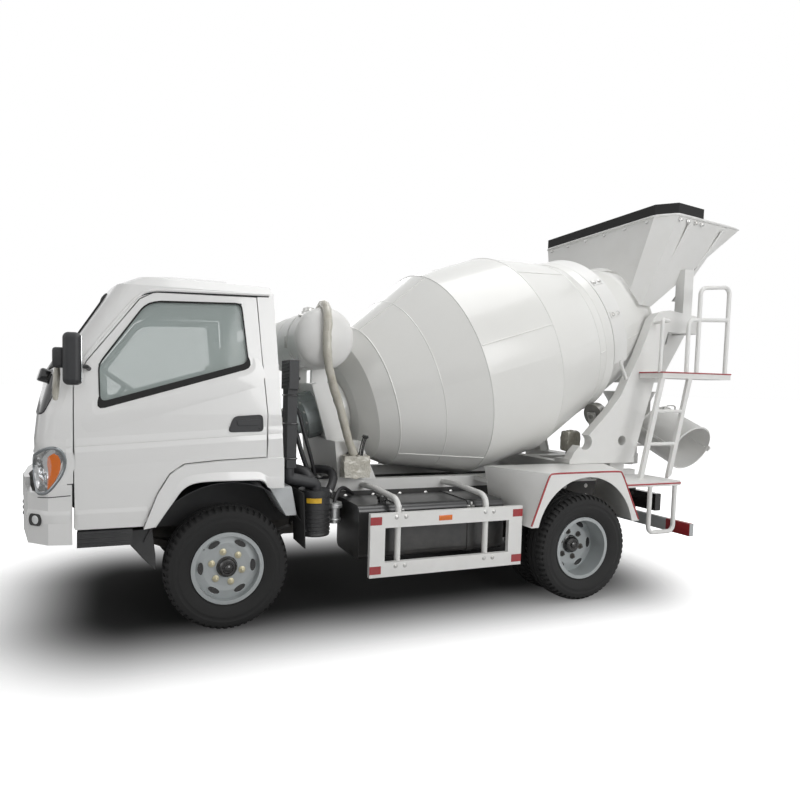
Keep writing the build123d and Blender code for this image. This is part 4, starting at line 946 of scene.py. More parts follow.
class MIXERTRUCK_OT_cab_trim(bpy.types.Operator):
    """Model the gutters, glass seals, wipers, grille slats, arch liners and steps"""

    bl_idname = "mixer_truck.cab_trim"
    bl_label = "Cab trim"

    def execute(self, context):
        line = [(0.872, 1.535), (0.824, 1.64), (0.66, 1.86), (0.53, 2.02), (0.462, 2.054), (0.35, 2.06),
                (0.0, 2.068), (-0.24, 2.074)]
        gutter = pipe([on_side(x, z, 0.001) for x, z in line], 0.0085)
        # a thin dark strip just below the gutter is a painted shadow line
        shadow = pipe([on_side(x + 0.004, z - 0.012, -0.0005) for x, z in line[3:]], 0.0035)
        settle(both(gutter), "roof_gutters", "cab_enamel", "cab")
        settle(both(shadow), "gutter_joints", "sheet_rubber", "cab")

        top = [on_front(-0.565 + 1.13 * i / 6, 2.044, -0.004) for i in range(7)]
        low = [on_front(0.645 - 1.29 * i / 6, 1.597, -0.004) for i in range(7)]
        screen = pipe(top + [mixed(top[-1], low[0], 0.5)] + low + [mixed(low[-1], top[0], 0.5), top[0]],
                      0.013)
        rear_x = [(FRONT - 0.3035, 1.478), (FRONT - 0.2725, 1.962)]
        corners = [(-0.562, 0), (0.562, 0), (0.542, 1), (-0.542, 1)]
        points = [Vector((rear_x[i][0] - 0.001, y, rear_x[i][1])) for y, i in corners]
        run = cornered(points + points[:1], 0, 0.06, 0.5, 0.94)
        rear = pipe(run + [run[0]], 0.011)
        settle(joined(screen, rear), "glass_seals", "sheet_rubber", "cab")

        arms = []
        for y in (0.52, -0.06):
            pivot = on_front(y, 1.56, 0.012)
            tip = on_front(y - 0.4, 1.7, 0.022)
            arms += [rod(pivot - X * 0.02, pivot + X * 0.008, 0.017, 16),
                     pipe([pivot, mixed(pivot, tip, 0.5) + X * 0.01, tip], 0.006)]
            ends = [on_front(y - 0.4 - s * 0.26, 1.7 + s * 0.115, 0.008) for s in (-1, 0, 1)]
            arms += [pipe(ends, 0.0065), pipe([end + X * 0.008 for end in ends], 0.004)]
        cover = soft_block((0.09, 0.11, 0.075), on_cab(-0.02, 1.545, 0.012), 0.014, 3, (0, -0.3, 0.2))
        arms.append(cover)
        settle(joined(*arms), "wipers", "gloss_black", "cab")

        slats = [skin(21, 2, lambda u, v, z=z: on_front((u - 0.5) * 0.8, z + (v - 0.5) * 0.012, 0.004),
                      0.006) for z in (1.037, 1.065, 1.093)]
        vents = [skin(25, 2, lambda u, v, z=z: on_front((u - 0.5) * 1.2, z + (v - 0.5) * 0.006, 0.003),
                      0.004) for z in (1.478, 1.496, 1.514)]
        settle(joined(*slats), "grille_slats", "chrome", "cab")
        settle(joined(*vents), "cowl_ribs", "gloss_black", "cab")

        def liner_place(u, v):
            angle = math.radians(22 + 136 * u)
            return Vector((FRONT + 0.535 * math.cos(angle), 0.402 + 0.374 * v,
                           AXLE_Z + 0.535 * math.sin(angle)))

        inner = plate([liner_place(i / 16, 0) for i in range(17)], Y * 0.003)
        settle(both(joined(skin(33, 4, liner_place, 0.004), inner)), "arch_liners", "grained_plastic", "cab")
        rear_panel = plate([(FRONT - 0.25, 0.778, 0.885), (FRONT - 0.395, 0.778, 0.885),
                            (FRONT - 0.432, 0.778, 0.7), (FRONT - 0.36, 0.778, 0.7)], (0, -0.3, 0), 0.004)
        settle(both(rear_panel), "arch_rear_panels", "bar_grey", "cab")

        seam = smooth_line(((0.49, 0.69), (0.468, 0.744), (0.446, 0.809), (0.427, 0.855), (0.398, 0.916),
                            (0.361, 0.977), (0.323, 1.016), (0.278, 1.038), (0.216, 1.049), (0.154, 1.054),
                            (-0.037, 1.057), (-0.318, 1.05)), 48)
        lip = smooth_line(((0.432, 0.688), (0.384, 0.76), (0.33, 0.838), (0.288, 0.895), (0.245, 0.926),
                           (0.185, 0.941), (0.1, 0.945), (-0.06, 0.944), (-0.185, 0.94), (-0.214, 0.915),
                           (-0.236, 0.89), (-0.318, 0.888)), 48)
        steps = lines_between(seam, lip, (0, 0.03, 0.1, 0.5, 0.92, 0.98, 1.0))
        flare = between(steps, (0.0004, 0.006, 0.01, 0.022, 0.034, 0.031, 0.012), on_side, 0.002)
        settle(both(flare), "front_fenders", "cab_enamel", "cab")
        guard = plate([(FRONT + x, 0.755, z)
                       for x, z in ((0.56, 0.66), (0.573, 0.572), (0.541, 0.535), (0.5, 0.485),
                                    (0.455, 0.437), (0.43, 0.413), (0.43, 0.5), (0.44, 0.58),
                                    (0.45, 0.665))], Y * -0.33, 0.003)
        settle(both(guard), "front_mud_guards", "grained_plastic", "cab")

        low = [(-0.3, 1.322), (-0.15, 1.326), (0.0, 1.331), (0.075, 1.338), (0.096, 1.36), (0.108, 1.395),
               (0.118, 1.43), (0.12, 1.45)]
        high = [(-0.3, 1.56), (-0.15, 1.56), (0.0, 1.56), (0.04, 1.56), (0.07, 1.555), (0.092, 1.54),
                (0.108, 1.51), (0.118, 1.47)]
        low, high = smooth_line(low, 24), smooth_line(high, 24)
        rows = lines_between(low, high, (0, 0.05, 0.5, 0.95, 1))
        settle(both(between(rows, (0.0005, 0.004, 0.004, 0.004, 0.0005), on_cab, 0.0015)), "cowl_corners",
               "gloss_black", "cab")

        treads = [block((0.27, 0.006, 0.006), (FRONT + 0.708, 0.8135, z), bevel=0.002)
                  for z in (0.612, 0.637, 0.662)]
        settle(both(joined(*treads)), "sill_ribs", "grained_plastic", "cab")
        belts = [pressed((0.908, 1.158), (0.876, 1.16), WAIST, 4),
                 pressed((-0.228, 1.223), (-0.318, 1.228), WAIST, 6)]
        settle(both(joined(*belts)), "cab_crease", "cab_enamel", "cab")
        return {"FINISHED"}


class MIXERTRUCK_OT_front_lamps(bpy.types.Operator):
    """Model the headlamp bowls, indicators, fog lamps and bumper grille"""

    bl_idname = "mixer_truck.front_lamps"
    bl_label = "Front lamps"

    def execute(self, context):
        def tray_place(u, v):
            z = 0.89 + 0.268 * v
            return on_corner(-42 + 132 * u, z, -0.036) if u > 0.32 else mixed(on_front(0.49, z, -0.036),
                                                                              on_corner(0, z, -0.036),
                                                                              u / 0.32)

        settle(both(skin(20, 6, tray_place, 0.003)), "headlamp_trays", "chrome", "cab")
        bowls = []
        # place across or round the corner, height, radius
        for place, z, size in ((on_front(0.6, 1.035, -0.012), 1.035, 0.052),
                               (on_front(0.69, 1.0, -0.014), 1.0, 0.046),
                               (on_corner(26, 0.968, -0.012), 0.968, 0.04)):
            out = Vector((0.93, 0.36, 0)).normalized()
            bowls.append(lathe([(0.006, -0.022), (size * 0.55, -0.014), (size * 0.85, -0.002), (size, 0.01),
                                (size + 0.004, 0.01), (size * 0.9, -0.008), (size * 0.55, -0.02),
                                (0.006, -0.027)], place, out, 32, looped=True))
            bowls.append(lathe([(0, 0.004), (0.01, 0.001), (0.013, -0.008), (0.012, -0.022), (0, -0.022)],
                               place, out, 20))
        settle(both(joined(*bowls)), "headlamp_bowls", "chrome", "cab")
        front_edge = smooth_line(((0.136, 1.104), (0.132, 1.07), (0.134, 1.04), (0.136, 1.012),
                                  (0.13, 0.975), (0.122, 0.926)), 10)
        rear_edge = smooth_line(((0.166, 1.126), (0.192, 1.108), (0.199, 1.07), (0.193, 1.026),
                                 (0.168, 0.976), (0.134, 0.924)), 10)
        middle = [flat_mixed(a, b, 0.5) for a, b in zip(front_edge, rear_edge)]
        amber = between([front_edge, middle, rear_edge], (0.003, 0.006, 0.003), on_cab, 0.002)
        settle(both(amber), "indicator_lenses", "amber_lens", "cab")
        shape = smooth_line(((-0.125, 1.04), (-0.11, 0.985), (-0.04, 0.93), (0.03, 0.908), (0.088, 0.905),
                             (0.129, 0.926), (0.176, 0.978), (0.207, 1.034), (0.216, 1.092), (0.198, 1.133),
                             (0.163, 1.15), (0.112, 1.138), (0.04, 1.108), (-0.06, 1.078)), 57, True)
        wide = offset_outline(shape[:-1], 0.005)
        edge = pipe([on_cab(along, z, 0.003) for along, z in wide + wide[:1]], 0.0095)
        settle(both(edge), "headlamp_edges", "smoked_chrome", "cab")
        rings = [offset_outline(shape[:-1], gap) for gap in (0.004, 0.012, 0.055)]
        rings = [[(along, max(z, 0.894)) for along, z in ring + ring[:1]] for ring in rings]
        settle(both(between(rings, (0.0035, 0.0035, 0.0012), on_cab, 0.001)), "headlamp_surrounds",
               "cab_enamel", "cab")

        out = Vector((0.66, 0.75, 0)).normalized()
        across = Z.cross(out)
        centre = Vector((FRONT + 1.071, 0.759, 0.752))
        shape = [(-0.04, -0.034), (0.034, -0.034), (0.046, 0.0), (0.036, 0.034), (-0.036, 0.034),
                 (-0.048, 0.0)]
        ring = surround([centre + across * a + Z * b - out * 0.004
                         for a, b in rounded_outline(shape, 0.014)], 0.005, out * 0.007, 0.001)
        pocket = plate([centre + across * a * 0.92 + Z * b * 0.92 - out * 0.004
                        for a, b in rounded_outline(shape, 0.014)], out * 0.0055)
        settle(both(joined(ring, pocket)), "fog_lamp_frames", "gloss_black", "cab")
        lens = lathe([(0, 0.006), (0.016, 0.005), (0.024, 0.0015), (0.026, -0.003), (0, -0.003)], centre,
                     out, 28)
        settle(both(lens), "fog_lamp_lenses", "clear_lens", "cab")
        path = [Vector((FRONT + x, y, 0))
                for x, y in ((0.884, 0.8315), (0.94, 0.8225), (1.0, 0.8125), (1.057, 0.762),
                             (1.1146, 0.7116), (1.133, 0.622), (1.151, 0.533))]
        ways = [Vector((0.16, 0.99, 0)), Vector((0.16, 0.99, 0)), Vector((0.43, 0.9, 0)),
                Vector((0.66, 0.75, 0)), Vector((0.86, 0.5, 0)), Vector((0.98, 0.2, 0)),
                Vector((0.98, 0.2, 0))]
        steps = ((0.806, 0.0002), (0.8, 0.002), (0.786, 0.0065), (0.778, 0.0066), (0.735, 0.0002))
        crease = skin(6, 4, lambda u, v: path[round(u * 6)] + ways[round(u * 6)] * steps[round(v * 4)][1] + Z
                      * steps[round(v * 4)][0], 0.0008)
        settle(both(crease), "bumper_crease", "cab_enamel", "cab")
        seam = skin(3, 1, lambda u, v: path[round(u * 3)] + ways[round(u * 3)] * 0.0012 + Z * (0.889 - 0.014
                                                                                               * u + 0.0045
                                                                                               * v), 0.0008)
        settle(both(seam), "bumper_seams", "gloss_black", "cab")
        slot_rows = [plate([(FRONT + 1.1635, -0.3, z), (FRONT + 1.1635, 0.3, z),
                            (FRONT + 1.1635, 0.3, z + 0.02), (FRONT + 1.1635, -0.3, z + 0.02)], X * 0.037,
                           0.003) for z in (0.69, 0.725, 0.76)]
        settle(joined(*slot_rows), "bumper_vents", "grained_plastic", "cab")
        return {"FINISHED"}


def cushion(size, centre, turn=0.0, channels=2):
    """A sewn pad: a crowned form with drawn-in sides and channels across its top."""
    clear_selection()
    bpy.ops.mesh.primitive_cube_add(size=1, location=(0, 0, 0))
    obj = bpy.context.object
    edit(obj)
    bpy.ops.mesh.subdivide(number_cuts=11)
    leave()
    half = Vector(size) / 2
    for vertex in obj.data.vertices:
        x, y, z = (2 * c for c in vertex.co)
        crown = (1 - x * x) * (1 - y * y)
        pull = 1 - 0.05 * (1 - x * x) * (1 - z * z) - 0.035 * (1 - z * z)
        groove = 0.0
        for i in range(channels):
            line = (i + 1) * 2 / (channels + 1) - 1
            groove += math.exp(-((y - line) / 0.09) ** 2) * (1 - x ** 6)
        vertex.co = Vector((x * half.x * (0.95 + 0.05 * pull) * (1 - 0.06 * (y * z) ** 4), y * half.y * pull,
                            z * half.z * (0.8 + 0.2 * crown) - (0.012 * groove if z > 0.5 else 0)))
    edit(obj)
    bpy.ops.mesh.select_all(action="SELECT")
    bpy.ops.mesh.vertices_smooth(factor=0.5, repeat=3)
    leave()
    choose(obj)
    smooth = obj.modifiers.new("Smooth", "SUBSURF")
    smooth.levels = smooth.render_levels = 1
    bpy.ops.object.modifier_apply(modifier="Smooth")
    swelled(obj)
    obj.data.transform(Matrix.Translation(Vector(centre)) @ Matrix.Rotation(turn, 4, "Y"))
    return obj


def swelled(obj, voxel=0.006, cap=0.006, pressure=4.0):
    """Fills a pad out with a short cloth simulation, no point moving further than the cap."""
    choose(obj)
    remesh = obj.modifiers.new("Skin", "REMESH")
    remesh.mode, remesh.voxel_size = "VOXEL", voxel
    bpy.ops.object.modifier_apply(modifier="Skin")
    before = [vertex.co.copy() for vertex in obj.data.vertices]
    cloth = obj.modifiers.new("Cloth", "CLOTH")
    cloth.settings.use_pressure = True
    cloth.settings.uniform_pressure_force = pressure
    cloth.settings.effector_weights.gravity = 0
    cloth.settings.quality = 4
    for number in range(1, 16):
        bpy.context.scene.frame_set(number)
    choose(obj)
    bpy.ops.object.modifier_apply(modifier="Cloth")
    bpy.context.scene.frame_set(1)
    for vertex, start in zip(obj.data.vertices, before):
        move = vertex.co - start
        if move.length > cap:
            vertex.co = start + move.normalized() * cap


class MIXERTRUCK_OT_seats(bpy.types.Operator):
    """Model the padded seats, their headrests and the headrests' stalks"""

    bl_idname = "mixer_truck.seats"
    bl_label = "Seats"

    def execute(self, context):
        base_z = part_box("seats")[0].z
        # name, place across, width
        for name, y, width in (("driver", 0.38, 0.52), ("middle", -0.06, 0.3), ("mate", -0.48, 0.48)):
            pad = cushion((0.51, width - 0.01, 0.168), (FRONT + 0.105, y, base_z + 0.086))
            settle(pad, "seat_pad_" + name, "seat_cloth", "cab", stands_for=["seats"], smooth=60)
            back = cushion((0.56, width - 0.012, 0.105), (FRONT - 0.118, y, base_z + 0.385),
                           math.radians(-82))
            settle(back, "seat_back_" + name, "seat_cloth", "cab", stands_for=["seats"], smooth=60)
            head = cushion((0.15, 0.22, 0.085), (FRONT - 0.17, y, base_z + 0.715), math.radians(-85), 0)
            settle(head, "seat_head_" + name, "seat_cloth", "cab", stands_for=["seats"], smooth=60)
            stalks = [rod((FRONT - 0.168, y + s * 0.05, base_z + 0.62),
                          (FRONT - 0.168, y + s * 0.05, base_z + 0.67), 0.006) for s in (1, -1)]
            settle(joined(*stalks), "seat_stalks_" + name, "bare_steel", "cab")
        return {"FINISHED"}


class MIXERTRUCK_OT_cabin(bpy.types.Operator):
    """Model the instrument hood, gear lever, pedal pads and a shelf inside the cab"""

    bl_idname = "mixer_truck.cabin"
    bl_label = "Cabin fittings"

    def execute(self, context):
        hood = plate([(FRONT + 0.742, 0.21, 1.405), (FRONT + 0.745, 0.55, 1.405),
                      (FRONT + 0.77, 0.52, 1.478), (FRONT + 0.77, 0.24, 1.478)], X * 0.16, 0.012)
        lever = joined(pipe([(FRONT + 0.44, 0.02, 1.02), (FRONT + 0.47, 0.03, 1.16),
                             (FRONT + 0.45, 0.04, 1.3)], 0.008),
                       lathe([(0, 0.03), (0.018, 0.024), (0.024, 0.0), (0.016, -0.024), (0, -0.028)],
                             (FRONT + 0.45, 0.04, 1.31), Z, 20),
                       lathe([(0.05, 0.0), (0.035, 0.04), (0.012, 0.07), (0.0, 0.075)],
                             (FRONT + 0.44, 0.02, 1.02), Z, 20))
        pads = [block((0.012, 0.06, 0.08), (FRONT + 0.8, y, 0.93), (0, -0.6, 0), 0.005)
                for y in (0.26, 0.38, 0.5)]
        shelf = soft_block((0.22, 0.1, 0.14), (FRONT + 0.84, -0.2, 1.4), 0.02, 3)
        settle(joined(hood, lever, shelf, *pads), "cabin_fittings", "grained_plastic", "cab",
               slot="cabin_plastic")
        return {"FINISHED"}


# ---- drum ---------------------------------------------------------------------------
# places along the drum's axis: the head's rim, the belly's two ends and the cone's middle seam
HEAD_AT, BELLY_AT, CONE_AT, SEAM_AT = 0.229, 0.834, 1.448, 1.95


def drum_ring(along, radius, width, height):
    """A weld bead run round the drum."""
    return lathe([(radius - 0.004, along - width), (radius + height, along - width * 0.45),
                  (radius + height * 1.15, along), (radius + height, along + width * 0.45),
                  (radius - 0.004, along + width), (radius - 0.008, along)], DRUM_START, DRUM_AXIS, 120,
                 looped=True)


def drum_radius(along):
    """The drum's outer radius at a distance along its axis."""
    rows = ((HEAD_AT, 0.561), (BELLY_AT, 0.834), (CONE_AT, 0.845), (2.778, 0.455))
    for (a, ra), (b, rb) in zip(rows, rows[1:]):
        if along <= b:
            break
    return ra + (rb - ra) * (along - a) / (b - a)


class MIXERTRUCK_OT_drum_work(bpy.types.Operator):
    """Model the drum's weld seams, hatch, track welds and mouth rim"""

    bl_idname = "mixer_truck.drum_work"
    bl_label = "Drum work"

    def execute(self, context):
        height = context.scene.mixer_truck.seam_height
        beads = [drum_ring(along, drum_radius(along), 0.007, height)
                 for along in (HEAD_AT, BELLY_AT, CONE_AT, SEAM_AT)]
        beads.append(drum_ring(0.531, drum_radius(0.531), 0.005, height * 0.7))

        def run(start, end, angle, lift=0.0):
            points = []
            for i in range(7):
                along = start + (end - start) * i / 6
                radius = drum_radius(along) + 0.0005 + lift
                points.append(drum_place(along, math.cos(angle) * radius, math.sin(angle) * radius))
            return pipe(points, 0.0042)

        # from, to, angle of the first seam, seams round the drum
        rows = ((HEAD_AT, BELLY_AT, 20, 3), (BELLY_AT, CONE_AT, 75, 2), (CONE_AT, SEAM_AT, 40, 2),
                (SEAM_AT, 2.03, 100, 2), (2.12, 2.76, 100, 2))
        for start, end, turn, count in rows:
            for i in range(count):
                beads.append(run(start + 0.005, end - 0.005, math.radians(turn + 360 / count * i)))
        settle(joined(*beads), "drum_seams", "drum_enamel", "drum")

        rim = lathe([(0.448, 2.76), (0.466, 2.76), (0.472, 2.769), (0.466, 2.778), (0.448, 2.778)],
                    DRUM_START, DRUM_AXIS, 96, looped=True)
        settle(rim, "drum_mouth_rim", "drum_enamel", "drum")

        angle = math.radians(-38)
        out = (DRUM_UP * math.cos(angle) + Y * math.sin(angle)).normalized()
        across = DRUM_AXIS.cross(out)
        centre = DRUM_START + DRUM_AXIS * 1.14 + out * 0.832
        corners = rounded_outline([(-0.2, -0.13), (0.2, -0.13), (0.2, 0.13), (-0.2, 0.13)], 0.05)
        hatch = plate([centre + DRUM_AXIS * a + across * b for a, b in corners], out * 0.018, 0.004)
        studs = bolts(0.018, [standing(centre + out * 0.018 + DRUM_AXIS * a + across * b, out)
                              for a in (-0.165, -0.055, 0.055, 0.165) for b in (-0.1, 0.1)])
        settle(hatch, "drum_hatch", "drum_enamel", "drum")
        settle(studs, "drum_hatch_bolts", "bare_steel", "drum")
        return {"FINISHED"}


class MIXERTRUCK_OT_drum_drive(bpy.types.Operator):
    """Model the gearbox's bolt rings and ribs, the wrapped motor, its fittings and hoses"""

    bl_idname = "mixer_truck.drum_drive"
    bl_label = "Drum drive"

    def execute(self, context):
        axis, start, at = DRUM_AXIS, DRUM_START, drum_place
        flange = lathe([(0.15, -0.108), (0.205, -0.108), (0.212, -0.104), (0.212, -0.088), (0.205, -0.084),
                        (0.205, -0.074), (0.212, -0.07), (0.212, -0.054), (0.205, -0.05), (0.15, -0.05)],
                       start, axis, 72, looped=True)
        settle(flange, "gearbox_flange", "gear_grey")
        rings = [bolts(0.019, ring_places(at(-0.108), -axis, 0.19, 18)),
                 bolts(0.014, ring_places(at(-0.332), -axis, 0.15, 12)),
                 bolts(0.012, ring_places(at(-0.402), -axis, 0.103, 8))]
        settle(joined(*rings), "gearbox_bolts", "bare_steel")
        ribs = []
        for i in range(12):
            angle = math.tau * (i + 0.5) / 12
            out = DRUM_UP * math.cos(angle) + Y * math.sin(angle)
            ribs.append(plate([start + axis * -0.116 + out * 0.172, start + axis * -0.116 + out * 0.2,
                               start + axis * -0.2 + out * 0.1825, start + axis * -0.32 + out * 0.179,
                               start + axis * -0.32 + out * 0.172], axis.cross(out) * 0.01, 0.002))
        settle(joined(*ribs), "gearbox_ribs", "gear_grey")

        motor = lathe([(0.02, -0.602), (0.075, -0.602), (0.092, -0.594), (0.098, -0.575), (0.094, -0.545),
                       (0.104, -0.52), (0.099, -0.495), (0.103, -0.47), (0.097, -0.44), (0.094, -0.405),
                       (0.05, -0.402), (0.02, -0.402)], start, axis, 56, looped=True)
        for vertex in motor.data.vertices:
            offset = vertex.co - start
            along = offset.dot(axis)
            radial = offset - axis * along
            wave = noise.noise(vertex.co * 17) * 0.008 + noise.noise(vertex.co * 46) * 0.004
            vertex.co += radial.normalized() * wave
        settle(motor, "motor_wrap", "wrap_film")
        ties = [lathe([(0.096, a - 0.006), (0.106, a - 0.006), (0.106, a + 0.006), (0.096, a + 0.006)],
                      start, axis, 48, looped=True) for a in (-0.545, -0.44)]
        settle(joined(*ties), "motor_ties", "gloss_black")

        port = joined(rod(at(-0.5, 0.07, 0.02), at(-0.5, 0.135, 0.03), 0.024, 20),
                      rod(at(-0.5, 0.13, 0.03), at(-0.5, 0.16, 0.034), 0.031, 6),
                      rod(at(-0.5, 0.16, 0.034), at(-0.5, 0.19, 0.038), 0.02, 20))
        settle(port, "motor_port", "green_paint")
        plug = joined(rod(at(-0.16, 0.165, 0.06), at(-0.16, 0.215, 0.078), 0.014, 16),
                      rod(at(-0.16, 0.205, 0.074), at(-0.16, 0.232, 0.084), 0.02, 6))
        settle(plug, "gearbox_breather", "green_paint")

        x0 = at(0).x
        hoses = [([at(-0.5, 0.185, 0.038), at(-0.51, 0.26, 0.07), at(-0.53, 0.27, 0.16),
                   at(-0.56, 0.14, 0.25), Vector((x0 + 0.47, 0.36, 1.25)), Vector((x0 + 0.42, 0.4, 1.02)),
                   Vector((x0 + 0.34, 0.36, 0.86))], 0.017),
                 ([at(-0.46, 0.02, 0.09), at(-0.48, 0.05, 0.2), Vector((x0 + 0.44, 0.3, 1.4)),
                   Vector((x0 + 0.38, 0.34, 1.15)), Vector((x0 + 0.3, 0.33, 0.9)),
                   Vector((x0 + 0.28, 0.3, 0.78))], 0.014),
                 ([at(-0.5, -0.04, -0.09), at(-0.52, -0.05, -0.2), Vector((x0 + 0.48, -0.32, 1.15)),
                   Vector((x0 + 0.44, -0.33, 0.95)), Vector((x0 + 0.4, -0.3, 0.8))], 0.017),
                 ([at(-0.58, -0.06, 0.02), Vector((x0 + 0.62, 0.05, 1.3)), Vector((x0 + 0.6, 0.07, 1.1)),
                   Vector((x0 + 0.5, 0.08, 0.92)), Vector((x0 + 0.42, 0.1, 0.8))], 0.012)]
        settle(joined(*[pipe(points, radius, 14) for points, radius in hoses]), "drive_hoses", "hose_black")
        ends = []
        for points, radius in hoses:
            way = (Vector(points[0]) - Vector(points[1])).normalized()
            ends += [rod(points[0] - way * 0.035, points[0] + way * 0.004, radius * 1.3, 18),
                     rod(points[0] + way * 0.002, points[0] + way * 0.022, radius * 1.5, 6)]
        settle(joined(*ends), "hose_ends", "bare_steel")
        return {"FINISHED"}


class MIXERTRUCK_OT_drum_supports(bpy.types.Operator):
    """Model the bolts, hoop pads and roller fittings of the drum's front and rear supports"""

    bl_idname = "mixer_truck.drum_supports"
    bl_label = "Drum supports"

    def execute(self, context):
        low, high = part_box("drum_pedestal")
        feet = [(x, y, low.z + 0.022) for x in (low.x + 0.04, high.x - 0.04)
                for y in (low.y + 0.05, 0, high.y - 0.05)]
        studs = bolts(0.022, stood(feet, Z))
        settle(studs, "pedestal_bolts", "bare_steel")

        for side, name in SIDES:
            low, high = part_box("roller_" + name)
            centre = (low + high) / 2
            along = (DRUM_AXIS - Y * DRUM_AXIS.y).normalized()
            for way in (1, -1):
                plug = lathe([(0, 0.045), (0.018, 0.045), (0.022, 0.04), (0.034, 0.038), (0.034, 0.0325),
                              (0, 0.0325)], centre, along * way, 32)
                settle(plug, "roller_cap_%s_%s" % (name, "front" if way > 0 else "rear"), "bare_steel",
                       "roller_" + name)
        ears, studs = [], []
        for side in (1, -1):
            for angle in (52, 78):
                out = DRUM_UP * math.cos(math.radians(angle)) + Y * math.sin(math.radians(angle)) * side
                across = DRUM_AXIS.cross(out).normalized()
                place = DRUM_START + DRUM_AXIS * HOOP_ALONG + out * 0.663
                ears.append(plate([place + across * 0.028 + DRUM_AXIS * 0.045,
                                   place - across * 0.028 + DRUM_AXIS * 0.045,
                                   place - across * 0.028 - DRUM_AXIS * 0.045,
                                   place + across * 0.028 - DRUM_AXIS * 0.045], out * 0.01, 0.002))
                studs += [place + out * 0.01 + DRUM_AXIS * 0.025, place + out * 0.01 - DRUM_AXIS * 0.025]
        settle(joined(*ears), "hoop_pads", "frame_enamel")
        settle(bolts(0.013, [standing(p, p - drum_place((p - DRUM_START).dot(DRUM_AXIS))) for p in studs]),
               "hoop_bolts", "bare_steel")
        return {"FINISHED"}


# ---- hopper, water tank and control box ---------------------------------------------
class MIXERTRUCK_OT_hopper_work(bpy.types.Operator):
    """Model the hopper's rim bead, bolt rows, stiffeners and rubber strip fixings"""

    bl_idname = "mixer_truck.hopper_work"
    bl_label = "Hopper work"

    def execute(self, context):
        right = [aft(-1.898, -0.602, 2.949), aft(-1.04, -0.73, 2.949), aft(-0.914, -0.62, 2.949)]
        left = [aft(-0.914, 0.62, 2.949), aft(-1.04, 0.73, 2.949), aft(-1.898, 0.602, 2.949)]
        rim = cornered(right + left + right[:1], 0.03, 0.5, 0.97)
        settle(pipe(rim + [rim[0]], 0.011), "hopper_rim", "frame_enamel")

        studs = []
        for side in (1, -1):
            front, back = aft(-1.04, side * 0.73, 2.915), aft(-1.38, side * 0.678, 2.915)
            out = Vector((0.15, side, 0)).normalized()
            studs += [standing(mixed(front, back, s) + out * 0.004, out) for s in (0.1, 0.4, 0.7, 0.95)]
            out = Vector((0.74, 0.67 * side, 0)).normalized()
            studs.append(standing(aft(-1.009, side * 0.675, 2.915) + out * 0.004, out))
        studs += [standing(aft(-0.912, y, 2.915), X) for y in (-0.55, -0.33, -0.11, 0.11, 0.33, 0.55)]
        settle(bolts(0.013, studs), "hopper_bolts", "bare_steel")

        stiffeners = []
        for side in (1, -1):
            for top_x, low_x, top_y, low_y in ((-1.2, -1.06, 0.708, 0.5), (-1.66, -1.38, 0.638, 0.436)):
                top, low = aft(top_x, side * top_y, 2.9), aft(low_x, side * low_y, 2.32)
                out = Y * side
                stiffeners.append(plate([top - X * 0.022, top + X * 0.022, low + X * 0.022, low - X * 0.022],
                                        out * 0.014, 0.003))
        settle(joined(*stiffeners), "hopper_stiffeners", "frame_enamel")
        return {"FINISHED"}


